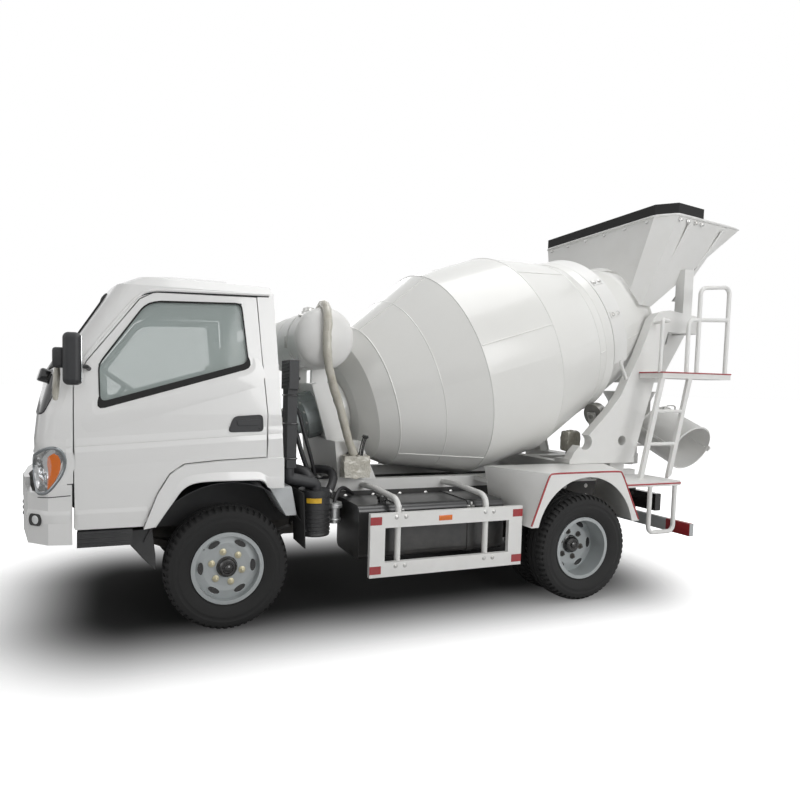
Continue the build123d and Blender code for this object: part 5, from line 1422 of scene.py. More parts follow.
class MIXERTRUCK_OT_tank_work(bpy.types.Operator):
    """Model the water tank's straps, cap, level tube, taps and its wrapped pipe"""

    bl_idname = "mixer_truck.tank_work"
    bl_label = "Water tank work"

    def execute(self, context):
        low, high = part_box("water_tank")
        centre = Vector(((low.x + high.x) / 2, 0, 1.85))

        def near(x, y, z):
            return centre + Vector((x, y, z))

        straps, lugs = [], []
        for y in (-0.25, 0.25):
            straps.append(lathe([(0.2095, -0.024), (0.2145, -0.024), (0.2145, 0.024), (0.2095, 0.024)],
                                centre + Y * y, Y, 72, looped=True))
            for way in (1, -1):
                lugs.append(rod(centre + Y * y + X * way * 0.2145 - Z * 0.06,
                                centre + Y * y + X * way * 0.2145 + Z * 0.02, 0.008, 12))
        settle(joined(*straps), "tank_straps", "frame_enamel")
        settle(joined(*lugs), "tank_strap_bolts", "bare_steel")
        seams = [lathe([(0.206, -0.005), (0.2125, -0.002), (0.2125, 0.002), (0.206, 0.005)], centre + Y * y,
                       Y, 72, looped=True) for y in (-0.47, 0.0, 0.47)]
        settle(joined(*seams), "tank_seams", "drum_enamel")

        cap = lathe([(0, 0.052), (0.03, 0.05), (0.04, 0.044), (0.044, 0.03), (0.044, 0.02), (0.052, 0.018),
                     (0.052, -0.01), (0, -0.01)], centre + Z * 0.208 + Y * 0.1, Z, 36)
        settle(cap, "tank_cap", "bare_steel")
        gauge = rod(near(0.15, 0.38, 0.15), near(0.165, 0.38, -0.14), 0.008, 16)
        ends = joined(*[rod(near(0.06, 0.38, z), near(0.16, 0.38, z), 0.01, 16) for z in (0.158, -0.148)])
        settle(gauge, "tank_gauge", "clear_lens")
        settle(ends, "tank_gauge_ends", "bare_steel")

        over = [near(-0.02, 0.3, 0.212), near(0.0, 0.4, 0.246), near(0.01, 0.52, 0.225),
                near(0.02, 0.603, 0.13), near(0.03, 0.612, 0.0), near(0.02, 0.6, -0.15),
                near(-0.04, 0.555, -0.32), near(-0.13, 0.505, -0.52), near(-0.2, 0.465, -0.72),
                near(-0.25, 0.45, -0.81)]
        tube = pipe(over, 0.03, 18)
        for vertex in tube.data.vertices:
            at = vertex.co * 21
            vertex.co += Vector((noise.noise(at), noise.noise(at + X * 7), 0)) * 0.0055
        settle(tube, "tank_pipe", "wrap_film")
        valve = joined(rod(near(0.0, -0.2, -0.205), near(0.0, -0.2, -0.3), 0.016, 16),
                       rod(near(-0.035, -0.2, -0.27), near(0.035, -0.2, -0.27), 0.012, 12),
                       pipe([near(0.0, -0.2, -0.29), near(0.02, -0.21, -0.36), near(0.02, -0.28, -0.44),
                             near(0.0, -0.36, -0.55), near(-0.03, -0.39, -0.78)], 0.012, 12))
        settle(valve, "tank_drain", "hose_black")
        return {"FINISHED"}


class MIXERTRUCK_OT_control_station(bpy.types.Operator):
    """Model the film-wrapped control box, with the creases drawn into its wrapping"""

    bl_idname = "mixer_truck.control_station"
    bl_label = "Control station"

    def execute(self, context):
        low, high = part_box("control_box")
        clear_selection()
        bpy.ops.mesh.primitive_cube_add(size=1, location=(0, 0, 0))
        wrap = bpy.context.object
        edit(wrap)
        bpy.ops.mesh.subdivide(number_cuts=23)
        leave()
        middle, size = (low + high) / 2, (high - low)
        for vertex in wrap.data.vertices:
            c = vertex.co * 2
            puff = 0.84 + 0.07 * (1 - abs(c.x) ** 3 * 0.7) * (1 - abs(c.y) ** 3 * 0.5)
            place = Vector((c.x * size.x / 2 * puff * (1 - 0.05 * c.z * c.z), c.y * size.y / 2 * puff,
                            c.z * size.z / 2 * 0.94))
            ridge = abs(noise.noise(place * 13 + X * 3)) * 0.016 + abs(noise.noise(place * 34)) * 0.008
            vertex.co = middle + place * (1 + (ridge - 0.008) / max(place.length, 0.05))
        for vertex in wrap.data.vertices:
            for i in range(3):
                vertex.co[i] = min(max(vertex.co[i], low[i] + 0.001), high[i] - 0.001)
        settle(wrap, "control_box_wrap", "wrap_film", stands_for=["control_box"], smooth=35)
        levers = []
        for y in (0.425, 0.455, 0.48):
            levers.append(pipe([(middle.x - 0.04, y, high.z - 0.01), (middle.x - 0.045, y, high.z + 0.06),
                                (middle.x - 0.07, y, high.z + 0.12)], 0.005, 10))
            levers.append(lathe([(0, 0.014), (0.01, 0.01), (0.014, 0), (0.01, -0.01), (0, -0.014)],
                                (middle.x - 0.072, y, high.z + 0.126), Z, 16))
        settle(joined(*levers), "control_levers", "gloss_black")
        return {"FINISHED"}


# ---- chassis ------------------------------------------------------------------------
class MIXERTRUCK_OT_chassis_work(bpy.types.Operator):
    """Model the frame's bolts, the sprung axles' fittings and the brake gear"""

    bl_idname = "mixer_truck.chassis_work"
    bl_label = "Chassis work"

    def execute(self, context):
        low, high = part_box("chassis_rails")
        run = [low.x + 0.12 + (high.x - low.x - 1.5) * i / 14 for i in range(15)]
        studs = stood([(x, high.y, z) for x in run for z in (0.64, 0.725)], Y)
        settle(both(bolts(0.013, studs)), "rail_bolts", "bare_steel")

        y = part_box("leaf_springs")[1].y - 0.035
        # axle, its place, height of its top over its middle
        for label, axle_x, rise in (("front", FRONT, 0.085), ("rear", REAR, 0.095)):
            axle_top = AXLE_Z + rise
            clips, nuts = [], []
            for way in (1, -1):
                for across in (0.043, -0.043):
                    clips.append(pipe([(axle_x + way * 0.055, y + across, axle_top - 0.17),
                                       (axle_x + way * 0.055, y + across, axle_top + 0.055)], 0.008, 12))
                    nuts.append(standing((axle_x + way * 0.055, y + across, axle_top - 0.165), -Z))
                clips.append(rod((axle_x + way * 0.055, y - 0.047, axle_top + 0.055),
                                 (axle_x + way * 0.055, y + 0.047, axle_top + 0.055), 0.008, 12))
            settle(both(joined(*clips)), "spring_clips_" + label, "iron_black")
            settle(both(bolts(0.015, nuts)), "spring_clip_nuts_" + label, "bare_steel")

        shocks = []
        for x, top_z, way in ((FRONT - 0.16, 0.72, 1), (REAR - 0.16, 0.7, 1)):
            foot, head = Vector((x + 0.1 * way, 0.34, AXLE_Z + 0.02)), Vector((x - 0.1 * way, 0.33, top_z))
            axis = (head - foot).normalized()
            length = (head - foot).length
            shocks += [rod(foot, foot + axis * length * 0.55, 0.03, 28),
                       rod(foot + axis * length * 0.5, head, 0.036, 28),
                       rod(foot - Y * 0.03, foot + Y * 0.03, 0.018, 16),
                       rod(head - Y * 0.03, head + Y * 0.03, 0.018, 16)]
        settle(both(joined(*shocks)), "dampers", "iron_black")

        cover = lathe([(0.15, 0.0), (0.164, 0.0), (0.164, 0.012), (0.15, 0.014), (0.14, 0.05),
                       (0.105, 0.085), (0.05, 0.098), (0, 0.1), (0, 0.0)], (REAR - 0.1, 0, AXLE_Z), -X, 48)
        studs = bolts(0.012, ring_places((REAR - 0.112, 0, AXLE_Z), -X, 0.157, 12))
        settle(cover, "axle_cover", "iron_black")
        settle(studs, "axle_cover_bolts", "bare_steel")

        chambers = []
        for side in (1, -1):
            centre = Vector((REAR + 0.16, side * 0.3, AXLE_Z + 0.1))
            chambers.append(lathe([(0, 0.12), (0.05, 0.118), (0.066, 0.105), (0.07, 0.075), (0.078, 0.068),
                                   (0.078, 0.055), (0.07, 0.048), (0.064, 0.0), (0.03, -0.012), (0, -0.012)],
                                  centre, Vector((1, 0, 0.25)).normalized(), 40))
            chambers.append(rod(centre, centre - X * 0.14 - Z * 0.06, 0.008, 12))
            chambers.append(block((0.09, 0.03, 0.05), centre - X * 0.13 - Z * 0.07, bevel=0.008))
        settle(joined(*chambers), "brake_chambers", "iron_black")
        lines = []
        for side in (1, -1):
            y = side * 0.3
            lines.append(pipe([(REAR + 0.26, y, AXLE_Z + 0.15), (REAR + 0.34, y * 0.98, AXLE_Z + 0.24),
                               (REAR + 0.42, y * 0.99, AXLE_Z + 0.26), (REAR + 0.8, side * 0.325, 0.655),
                               (REAR + 1.6, side * 0.325, 0.655)], 0.007, 10))
            lines.append(pipe([(FRONT - 0.5, side * 0.325, 0.665), (FRONT - 0.2, side * 0.325, 0.665),
                               (FRONT - 0.05, side * 0.335, 0.63), (FRONT - 0.03, side * 0.37, 0.54),
                               (FRONT - 0.03, side * 0.42, 0.47)], 0.007, 10))
        settle(joined(*lines), "brake_lines", "hose_black")
        return {"FINISHED"}


class MIXERTRUCK_OT_engine_work(bpy.types.Operator):
    """Model the engine's rocker cover, its bolts and the pulleys"""

    bl_idname = "mixer_truck.engine_work"
    bl_label = "Engine work"

    def execute(self, context):
        low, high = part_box("engine_block")
        centre = (low + high) / 2
        top = high.z
        cover = soft_block((min(0.52, high.x - low.x - 0.1), 0.2, 0.05),
                           (centre.x + 0.08, centre.y, top - 0.03), 0.016, 3)
        studs = stood([(centre.x + 0.08 + i * 0.1, centre.y + s * 0.085, top - 0.008)
                       for i in (-2, -1, 0, 1, 2) for s in (1, -1)], Z)
        settle(cover, "rocker_cover", "cast_alloy")
        settle(bolts(0.01, studs), "rocker_cover_bolts", "bare_steel")
        wheels = [lathe([(0, 0.034), (0.05, 0.034), (0.055, 0.03), (0.072, 0.03), (0.062, 0.022),
                         (0.072, 0.014), (0.062, 0.008), (0.072, 0.0), (0, 0.0)], (high.x - 0.02, y, z), X,
                        36) for y, z in ((0.0, low.z + 0.16), (0.1, top - 0.12), (-0.09, top - 0.1))]
        settle(joined(*wheels), "engine_pulleys", "iron_black")
        return {"FINISHED"}


class MIXERTRUCK_OT_side_units(bpy.types.Operator):
    """Model the straps, caps, ribs, clips and hoses of the tank, filters and battery box"""

    bl_idname = "mixer_truck.side_units"
    bl_label = "Side units"

    def execute(self, context):
        filler = lathe([(0, 0.055), (0.03, 0.053), (0.037, 0.046), (0.037, 0.024), (0.028, 0.022),
                        (0.028, 0.0), (0, 0.0)], fore(-1.06, 0.7, 0.738), Z, 32)
        settle(filler, "tank_filler", "gloss_black")
        studs = [standing(fore(x + s * 0.016, 0.7995, 0.7), Y) for x in (-1.15, -1.7) for s in (1, -1)]
        settle(bolts(0.012, studs), "strap_bolts", "bare_steel")
        joints = [rod(fore(x, 0.805, 0.69), fore(x, 0.805, 0.735), 0.008, 12) for x in (-1.15, -1.7)]
        settle(joined(*joints), "strap_screws", "bare_steel")

        centre = fore(-0.59, 0.64, 0)
        ribs = []
        for z in (0.575, 0.602, 0.629, 0.656, 0.683, 0.71, 0.752, 0.8):
            size = 0.1105 if z < 0.72 else 0.108
            ribs.append(lathe([(0.102, z - 0.006), (size, z - 0.003), (size, z + 0.003), (0.102, z + 0.006)],
                              centre, Z, 56, looped=True))
        base = lathe([(0, 0.528), (0.06, 0.53), (0.104, 0.54), (0.109, 0.552), (0.104, 0.56), (0, 0.556)],
                     centre, Z, 48)
        settle(joined(base, *ribs), "air_cleaner_ribs", "tank_black")
        label = skin(13, 5, lambda u, v: centre + Vector((math.cos(math.radians(45 + 55 * u)) * 0.1062,
                                                          math.sin(math.radians(45 + 55 * u)) * 0.1062,
                                                          0.762 + 0.032 * v)), 0.0015)
        settle(label, "air_cleaner_label", "label_yellow")
        hoses = [([fore(-0.59, 0.6, 0.835), fore(-0.58, 0.58, 0.9), fore(-0.52, 0.52, 0.95),
                   fore(-0.46, 0.42, 0.93), fore(-0.43, 0.3, 0.88), fore(-0.41, 0.2, 0.84)], 0.045),
                 ([fore(-0.7, 0.58, 0.78), fore(-0.76, 0.53, 0.84), fore(-0.8, 0.44, 0.9),
                   fore(-0.78, 0.36, 0.93), fore(-0.7, 0.28, 0.92)], 0.03),
                 ([fore(-0.765, 0.56, 0.725), fore(-0.78, 0.55, 0.775), fore(-0.83, 0.5, 0.81),
                   fore(-0.9, 0.42, 0.8), fore(-0.98, 0.37, 0.74)], 0.013)]
        settle(joined(*[pipe(points, radius, 20) for points, radius in hoses]), "intake_hoses", "hose_black")
        clips = []
        for points, radius in hoses[:2]:
            way = (Vector(points[1]) - Vector(points[0])).normalized()
            clips.append(lathe([(radius, 0), (radius + 0.004, 0), (radius + 0.004, 0.014), (radius, 0.014)],
                               Vector(points[0]) + way * 0.02, way, 36, looped=True))
        settle(joined(*clips), "hose_clips", "bare_steel")

        slats = [block((0.008, 0.15, 0.006), fore(-0.363, 0.7, z), (0, 0.5, 0), 0.001)
                 for z in [1.525 + 0.022 * i for i in range(7)]]
        settle(joined(*slats), "intake_slats", "grained_plastic")
        bands = [joined(*[rod(a, b, 0.005, 10)
                          for a, b in ((fore(-0.43, 0.637, z), fore(-0.43, 0.763, z)),
                                       (fore(-0.43, 0.763, z), fore(-0.362, 0.763, z)),
                                       (fore(-0.362, 0.763, z), fore(-0.362, 0.637, z)))])
                 for z in (1.06, 1.28, 1.46)]
        settle(joined(*bands), "intake_bands", "gloss_black")

        filters = [lathe([(0, 0.585), (0.02, 0.587), (0.03, 0.597), (0.047, 0.602), (0.05, 0.612),
                          (0.047, 0.618), (0, 0.612)], fore(-0.765, 0.56, 0), Z, 36),
                   lathe([(0.048, 0.69), (0.056, 0.694), (0.056, 0.712), (0.048, 0.716)],
                         fore(-0.765, 0.56, 0), Z, 36, looped=True)]
        settle(joined(*filters), "fuel_filter_rings", "cast_alloy", slot="filter_metal")

        ribs = [block((0.018, 0.006, 0.24), fore(x, -0.761, 0.565), bevel=0.002)
                for x in (-1.05, -0.95, -0.85, -0.75, -0.65)]
        lid = block((0.6, 0.372, 0.012), fore(-0.855, -0.58, 0.7405), bevel=0.004)
        settle(joined(lid, *ribs), "battery_lid", "grained_plastic")
        latches = [block((0.03, 0.008, 0.06), fore(x, -0.764, 0.705), bevel=0.003) for x in (-1.0, -0.72)]
        settle(joined(*latches), "battery_latches", "bare_steel")
        return {"FINISHED"}


class MIXERTRUCK_OT_guard_work(bpy.types.Operator):
    """Model the side guards' clamps, nuts, red-painted ends and lips"""

    bl_idname = "mixer_truck.guard_work"
    bl_label = "Guard work"

    def execute(self, context):
        clamps, nuts = [], []
        for x in (-1.093, -1.765):
            for z in (0.668, 0.348):
                clamps.append(pipe([fore(x - 0.034, 0.902, z + 0.018), fore(x - 0.034, 0.87, z + 0.022),
                                    fore(x, 0.86, z + 0.022), fore(x + 0.034, 0.87, z + 0.022),
                                    fore(x + 0.034, 0.902, z + 0.018)], 0.005, 10))
                nuts += [standing(fore(x + s * 0.034, 0.929, z + 0.018), Y) for s in (1, -1)]
        settle(both(joined(*clamps)), "guard_clamps", "bare_steel")
        settle(both(bolts(0.011, nuts)), "guard_nuts", "bare_steel")

        tape = [plate([fore(a, 0.9302, z - 0.026), fore(b, 0.9302, z - 0.026), fore(b, 0.9302, z + 0.026),
                       fore(a, 0.9302, z + 0.026)], Y * 0.0012)
                for a, b in ((-0.875, -0.955), (-1.955, -2.035)) for z in (0.668, 0.348)]
        settle(both(joined(*tape)), "guard_end_paint", "edge_red")
        lip = pipe([fore(-0.99, 0.922, 0.6985), fore(-1.92, 0.922, 0.6985)], 0.0035, 8)
        settle(both(lip), "guard_lips", "bar_grey")
        return {"FINISHED"}


class MIXERTRUCK_OT_rear_end(bpy.types.Operator):
    """Model the fender edges, lamps, reflectors, step edges and the blank number plate"""

    bl_idname = "mixer_truck.rear_end"
    bl_label = "Rear end"

    def execute(self, context):
        edge = [(0.484, 0.57), (0.339, 0.945), (-0.302, 0.945), (-0.489, 0.57)]
        line = [aft(x, 0.9985, z) for x, z in edge]
        settle(both(pipe(cornered(line, 0.03, 0.5, 0.97), 0.0065, 10)), "fender_edges", "edge_red")

        low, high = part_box("underrun_bar")
        ends = block((high.x - low.x + 0.002, 0.215, 0.102), ((low.x + high.x) / 2, 0.822, low.z + 0.05),
                     bevel=0.004)
        settle(both(ends), "under_run_ends", "edge_red", slot="guard_grey")

        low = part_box("tail_lamps")[0]
        for kind, y in (("red_lens", 0.517), ("amber_lens", 0.604), ("clear_lens", 0.43)):
            lens = soft_block((0.014, 0.078, 0.098), (low.x - 0.002, y, 0.6115), 0.006, 3)
            settle(both(lens), "tail_" + kind, kind)
        plate_piece = soft_block((0.004, 0.44, 0.14), (low.x + 0.02, 0, 0.6), 0.0015, 2)
        holder = block((0.022, 0.46, 0.16), (low.x + 0.034, 0, 0.6), bevel=0.004)
        settle(plate_piece, "rear_plate", "plate_blank")
        settle(holder, "rear_plate_holder", "gloss_black")
        front_plate = soft_block((0.004, 0.44, 0.14), (FRONT + 1.2075, 0, 0.865), 0.0015, 2)
        settle(front_plate, "front_plate", "plate_blank", "cab")

        bar_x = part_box("underrun_bar")[0].x
        reflectors = [lathe([(0, 0.006), (0.03, 0.005), (0.034, 0.0), (0.034, -0.004), (0, -0.004)],
                            (bar_x, s * 0.5, 0.44), -X, 32) for s in (1, -1)]
        settle(joined(*reflectors), "rear_reflectors", "red_lens")
        marker = soft_block((0.1, 0.006, 0.035), (FRONT - 1.42, 0.9315, 0.665), 0.0025, 2)
        settle(both(marker), "side_markers", "amber_lens")

        corners = [aft(x, y, 0.832) for x, y in ((-0.926, 0.97), (-0.395, 0.97), (-0.566, 0.54),
                                                 (-0.926, 0.62))]
        edges = [pipe([a, mixed(a, b, 0.5), b], 0.0062, 10)
                 for a, b in ((corners[0], corners[1]), (corners[1], corners[2]), (corners[0], corners[3]))]
        settle(joined(*edges), "step_plate_edges", "edge_red")
        low, high = Vector((REAR - 1.59, 0.615, 1.64)), Vector((REAR - 0.846, 0.83, 1.69))
        deck = [Vector((x, y, high.z - 0.004))
                for x, y in ((low.x, low.y), (low.x, high.y), (high.x, high.y), (high.x, low.y))]
        edges = [pipe([a, mixed(a, b, 0.5), b], 0.0055, 10) for a, b in zip(deck, deck[1:])]
        settle(joined(*edges), "platform_edges", "edge_red")
        treads = []
        for i in range(14):
            for j in range(4):
                x = low.x + 0.05 + (high.x - low.x - 0.1) * i / 13
                y = low.y + 0.035 + (high.y - low.y - 0.07) * j / 3
                turn = (0, 0, math.radians(45 if (i + j) % 2 else -45))
                treads.append(block((0.034, 0.008, 0.004), (x, y, high.z + 0.001), turn, 0.0015))
        settle(joined(*treads), "platform_treads", "frame_enamel")
        return {"FINISHED"}


# ---- chute --------------------------------------------------------------------------
SLOPE = math.radians(24)
CHUTE_START = Vector((REAR - 1.43, 0, 1.34))
CHUTE_AXIS = Vector((0, math.cos(SLOPE), -math.sin(SLOPE)))
CHUTE_UP = Vector((0, math.sin(SLOPE), math.cos(SLOPE)))


def chute_place(along, up=0.0, across=0.0):
    return CHUTE_START + CHUTE_AXIS * along + CHUTE_UP * up + X * across


def chute_arc(along, radius, start, end, count=13, lift=0.0):
    """Points round the chute's section, 0 degrees lying at its left edge and 90 at its crown."""
    angles = [math.radians(start + (end - start) * i / (count - 1)) for i in range(count)]
    return [chute_place(along, lift + radius * math.sin(a), radius * math.cos(a)) for a in angles]


class MIXERTRUCK_OT_chute_work(bpy.types.Operator):
    """Model the chute's rim beads, hinge bolts and the folding part's handle"""

    bl_idname = "mixer_truck.chute_work"
    bl_label = "Chute work"

    def execute(self, context):
        rims = [pipe([chute_place(s, -0.005, side * 0.199) for s in (0.2, 0.42, 0.66)], 0.0055)
                for side in (1, -1)]
        rims.append(pipe(chute_arc(0.694, 0.199, 183, 357, 15), 0.0055))
        hood = [CHUTE_START + Vector((0.245 * math.cos(a), 0.245 * math.sin(a), 0.188))
                for a in (math.radians(166 + 208 * i / 18) for i in range(19))]
        rims.append(pipe(hood, 0.0075))
        settle(joined(*rims), "chute_rims", "frame_enamel", "chute")

        lid = [pipe([chute_place(s, 0.011, side * 0.199) for s in (0.31, 0.45, 0.64)], 0.0055)
               for side in (1, -1)]
        lid.append(pipe(chute_arc(0.308, 0.199, 4, 176, 15, 0.005), 0.0055))
        lid.append(pipe(chute_arc(0.692, 0.198, 12, 168, 15, 0.005), 0.0045))
        settle(joined(*lid), "chute_extension_rims", "frame_enamel", "chute_extension")
        handle = pipe([chute_place(0.36, 0.196, -0.07), chute_place(0.36, 0.235, -0.07),
                       chute_place(0.36, 0.245, 0), chute_place(0.36, 0.235, 0.07),
                       chute_place(0.36, 0.196, 0.07)], 0.007)
        settle(handle, "chute_handle", "bare_steel", "chute_extension")

        pins = [standing((CHUTE_START.x + side * 0.239, 0, 1.3), X * side) for side in (1, -1)]
        settle(bolts(0.019, pins), "chute_hinge_nuts", "bare_steel", "chute_pivot")
        studs = stood([(CHUTE_START.x + sx * 0.19, sy * 0.04, 1.036) for sx in (1, -1) for sy in (1, -1)], Z)
        settle(bolts(0.011, studs), "chute_plate_bolts", "bare_steel", "chute_pivot")
        collar = lathe([(0.045, 0.985), (0.06, 0.985), (0.064, 0.99), (0.064, 1.01), (0.06, 1.015),
                        (0.045, 1.015)], (CHUTE_START.x, 0, 0), Z, 40, looped=True)
        settle(collar, "chute_post_collar", "frame_enamel", "chute_pivot")
        return {"FINISHED"}


class MIXERTRUCK_OT_valve_block(bpy.types.Operator):
    """Model the film-wrapped valve block beside the left roller, with its pipes"""

    bl_idname = "mixer_truck.valve_block"
    bl_label = "Valve block"

    def execute(self, context):
        clear_selection()
        bpy.ops.mesh.primitive_ico_sphere_add(subdivisions=5, radius=1, location=(0, 0, 0))
        wrap = bpy.context.object
        centre, half = Vector((REAR - 0.46, 0.3, 1.1)), Vector((0.085, 0.06, 0.105))
        for vertex in wrap.data.vertices:
            c = vertex.co
            square = max(abs(c.x), abs(c.y), abs(c.z)) ** 0.6
            ridge = abs(noise.noise(c * 2.1)) * 0.1 + abs(noise.noise(c * 5.3)) * 0.06
            vertex.co = centre + Vector(c[i] / square * half[i] * (0.86 + ridge) for i in range(3))
        settle(wrap, "valve_wrap", "wrap_film", smooth=40)
        lines = [pipe([centre - Z * 0.08 + X * x, centre - Z * 0.15 + X * x,
                       centre + Vector((x, -0.02, -0.22))], 0.01) for x in (-0.03, 0.03)]
        settle(joined(*lines), "valve_pipes", "hose_black")
        return {"FINISHED"}


# ---- finishes of the CAD model's nodes ----------------------------------------------
class MIXERTRUCK_OT_node_finishes(bpy.types.Operator):
    """Give every node of the CAD model its finish"""

    bl_idname = "mixer_truck.node_finishes"
    bl_label = "Node finishes"

    def execute(self, context):
        named = set()
        for material, nodes in NODE_FINISH.items():
            for node in nodes.split():
                named.add(node)
                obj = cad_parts[node]
                for place in obj.material_slots:
                    place.material = finish(material)
        missing = set(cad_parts) - named
        if missing:
            raise RuntimeError("no finish for " + ", ".join(sorted(missing)))
        return {"FINISHED"}


# ---- stage --------------------------------------------------------------------------
def area_lamp(name, place, target, size, power):
    data = bpy.data.lights.new(name, "AREA")
    data.shape, data.size, data.energy = "DISK", size, power
    lamp = bpy.data.objects.new(name, data)
    lamp.location = place
    lamp.rotation_mode = "QUATERNION"
    lamp.rotation_quaternion = (Vector(target) - Vector(place)).to_track_quat("-Z", "Y")
    bpy.context.collection.objects.link(lamp)
    return lamp


# the painted shadow on the floor: its middle, half of its core's size and how far it fades out
SHADE_MIDDLE, SHADE_CORE, SHADE_EDGE = (0.45, 0, 0), (2.08, 0.3, 9.0), 1.15
FLOOR_GLOW = 0.95
WORLD_LIGHT = 0.24
# the lamps: name, place, target, diameter and power
LAMPS = (
    ("top_lamp", (-1.4, 0.8, 8.0), (-0.6, 0, 1.0), 6.0, 235),
    ("key_lamp", (-2.2, 8.0, 3.8), (-0.4, 0, 1.2), 5.0, 260),
    ("front_lamp", (7.5, 3.0, 3.5), (1.0, 0, 1.2), 4.0, 40),
    ("back_lamp", (-2.0, -8.0, 6.0), (0, 0, 1.0), 4.0, 80),
)
CAMERA_PLACE = (FRONT + 0.621, 4.2495, 1.515)
CAMERA_YAW, CAMERA_PITCH, CAMERA_ROLL = 0.3325, -0.0577, 0.0202
SENSOR_WIDTH, LENS = 36.0, 26.0
SHIFT_X, SHIFT_Y = 0.0993, 0.0256


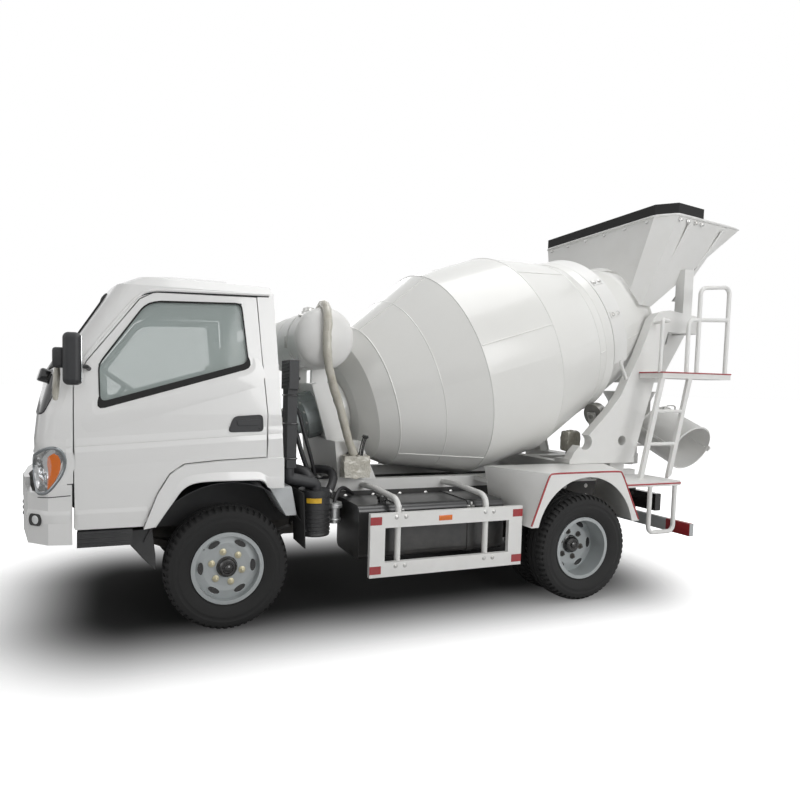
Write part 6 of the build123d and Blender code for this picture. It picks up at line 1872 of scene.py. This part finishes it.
class MIXERTRUCK_OT_stage(bpy.types.Operator):
    """Set up the pale floor, the soft light and the camera"""

    bl_idname = "mixer_truck.stage"
    bl_label = "Stage"

    def execute(self, context):
        scene = context.scene
        clear_selection()
        bpy.ops.mesh.primitive_plane_add(size=400, location=(0, 0, 0))
        floor = context.object
        floor.name = floor.data.name = "floor"
        paper = bpy.data.materials.new("studio_floor")
        paper.use_nodes = True
        tree = paper.node_tree
        shader = tree.nodes["Principled BSDF"]
        place = object_place(tree)
        pale = blended(tree, noisy(tree, place, 0.4, 2.0), (0.8, 0.8, 0.8, 1), (0.83, 0.83, 0.83, 1))
        shader.inputs["Roughness"].default_value = 0.9
        shader.inputs["Specular IOR Level"].default_value = 0.1
        # the paper glows white beside the truck and is dark under it: a painted shadow that darkens both its
        # colour and its glow
        spot = vector_maths(tree, "SUBTRACT", place, SHADE_MIDDLE)
        spot = vector_maths(tree, "MULTIPLY", vector_maths(tree, "ABSOLUTE", spot), (1.2, 1, 1))
        spot = vector_maths(tree, "MAXIMUM", vector_maths(tree, "SUBTRACT", spot, SHADE_CORE), (0, 0, 0))
        painted_shadow_distance = add_node(tree, "ShaderNodeVectorMath", {0: spot}, operation="LENGTH").outputs["Value"]
        share = maths(tree, "POWER", ranged(tree, painted_shadow_distance, 0.0, SHADE_EDGE, way="SMOOTHSTEP"), 2.0)
        tree.links.new(blended(tree, share, (0.03, 0.03, 0.03, 1), pale), shader.inputs["Base Color"])
        # the camera-only glow is held back near the truck the same way, as part of the painted shadow
        strength = ranged(tree, painted_shadow_distance, 0.2, 1.9, 0.0, FLOOR_GLOW, "SMOOTHSTEP")
        seen = add_node(tree, "ShaderNodeLightPath")
        glow = add_node(tree, "ShaderNodeEmission", {"Color": (1, 1, 1, 1), "Strength": strength})
        dark = add_node(tree, "ShaderNodeEmission", {"Color": (0, 0, 0, 1), "Strength": 0.0})
        shown = add_node(tree, "ShaderNodeMixShader",
                         {0: seen.outputs["Is Camera Ray"], 1: dark.outputs[0], 2: glow.outputs[0]})
        whole = add_node(tree, "ShaderNodeAddShader", {0: shader.outputs[0], 1: shown.outputs[0]})
        tree.links.new(whole.outputs[0], tree.nodes["Material Output"].inputs["Surface"])
        floor.data.materials.append(paper)

        world = scene.world or bpy.data.worlds.new("studio")
        scene.world = world
        world.use_nodes = True
        tree = world.node_tree
        tree.nodes.clear()
        seen = add_node(tree, "ShaderNodeLightPath")
        direct = maths(tree, "MAXIMUM", seen.outputs["Is Camera Ray"], seen.outputs["Is Glossy Ray"])
        direct = maths(tree, "MAXIMUM", direct, seen.outputs["Is Transmission Ray"])
        strength = ranged(tree, direct, 0.0, 1.0, WORLD_LIGHT)
        sky = add_node(tree, "ShaderNodeBackground", {"Color": (1, 1, 1, 1), "Strength": strength})
        out = tree.nodes.new("ShaderNodeOutputWorld")
        tree.links.new(sky.outputs[0], out.inputs["Surface"])

        for lamp in LAMPS:
            area_lamp(*lamp)

        data = bpy.data.cameras.new("camera")
        data.sensor_width, data.lens = SENSOR_WIDTH, LENS
        data.shift_x, data.shift_y = SHIFT_X, SHIFT_Y
        data.clip_end = 500
        camera = bpy.data.objects.new("camera", data)
        forward = Vector((-math.sin(CAMERA_YAW) * math.cos(CAMERA_PITCH),
                          -math.cos(CAMERA_YAW) * math.cos(CAMERA_PITCH), math.sin(CAMERA_PITCH)))
        right = Vector((-math.cos(CAMERA_YAW), math.sin(CAMERA_YAW), 0))
        up = right.cross(forward)
        level_right = right * math.cos(CAMERA_ROLL) + up * math.sin(CAMERA_ROLL)
        level_up = up * math.cos(CAMERA_ROLL) - right * math.sin(CAMERA_ROLL)
        turn = Matrix((level_right, level_up, -forward)).transposed().to_4x4()
        camera.matrix_world = Matrix.Translation(CAMERA_PLACE) @ turn
        context.collection.objects.link(camera)
        scene.camera = camera
        scene.view_settings.view_transform = "Standard"
        return {"FINISHED"}


# ---- panel, registration and the whole truck ----------------------------------------
OPERATORS = (
    MIXERTRUCK_OT_stage, MIXERTRUCK_OT_node_finishes,
    MIXERTRUCK_OT_tyres, MIXERTRUCK_OT_wheel_fittings,
    MIXERTRUCK_OT_door_trim, MIXERTRUCK_OT_cab_trim, MIXERTRUCK_OT_front_lamps,
    MIXERTRUCK_OT_seats, MIXERTRUCK_OT_cabin,
    MIXERTRUCK_OT_drum_work, MIXERTRUCK_OT_drum_drive, MIXERTRUCK_OT_drum_supports,
    MIXERTRUCK_OT_hopper_work, MIXERTRUCK_OT_tank_work, MIXERTRUCK_OT_control_station,
    MIXERTRUCK_OT_chassis_work, MIXERTRUCK_OT_engine_work, MIXERTRUCK_OT_side_units,
    MIXERTRUCK_OT_guard_work, MIXERTRUCK_OT_rear_end,
    MIXERTRUCK_OT_chute_work, MIXERTRUCK_OT_valve_block,
)


class MIXERTRUCK_PT_sidebar(bpy.types.Panel):
    """Lists the truck's settings and its pieces."""

    bl_idname = "MIXERTRUCK_PT_sidebar"
    bl_label = "Concrete Mixer Truck"
    bl_space_type = "VIEW_3D"
    bl_region_type = "UI"
    bl_category = "Mixer"

    def draw(self, context):
        for name in ("paint", "tread_lugs", "tread_depth", "wheel_nut", "seam_height"):
            self.layout.prop(context.scene.mixer_truck, name)
        for operator in OPERATORS:
            self.layout.operator(operator.bl_idname)


CLASSES = (MixerTruckSettings, *OPERATORS, MIXERTRUCK_PT_sidebar)


def register():
    for kind in CLASSES:
        bpy.utils.register_class(kind)
    bpy.types.Scene.mixer_truck = bpy.props.PointerProperty(type=MixerTruckSettings)


def unregister():
    del bpy.types.Scene.mixer_truck
    for kind in reversed(CLASSES):
        bpy.utils.unregister_class(kind)


def main():
    register()
    for operator in OPERATORS:
        getattr(bpy.ops.mixer_truck, operator.bl_idname.split(".")[1])()


if __name__ == "__main__":
    main()
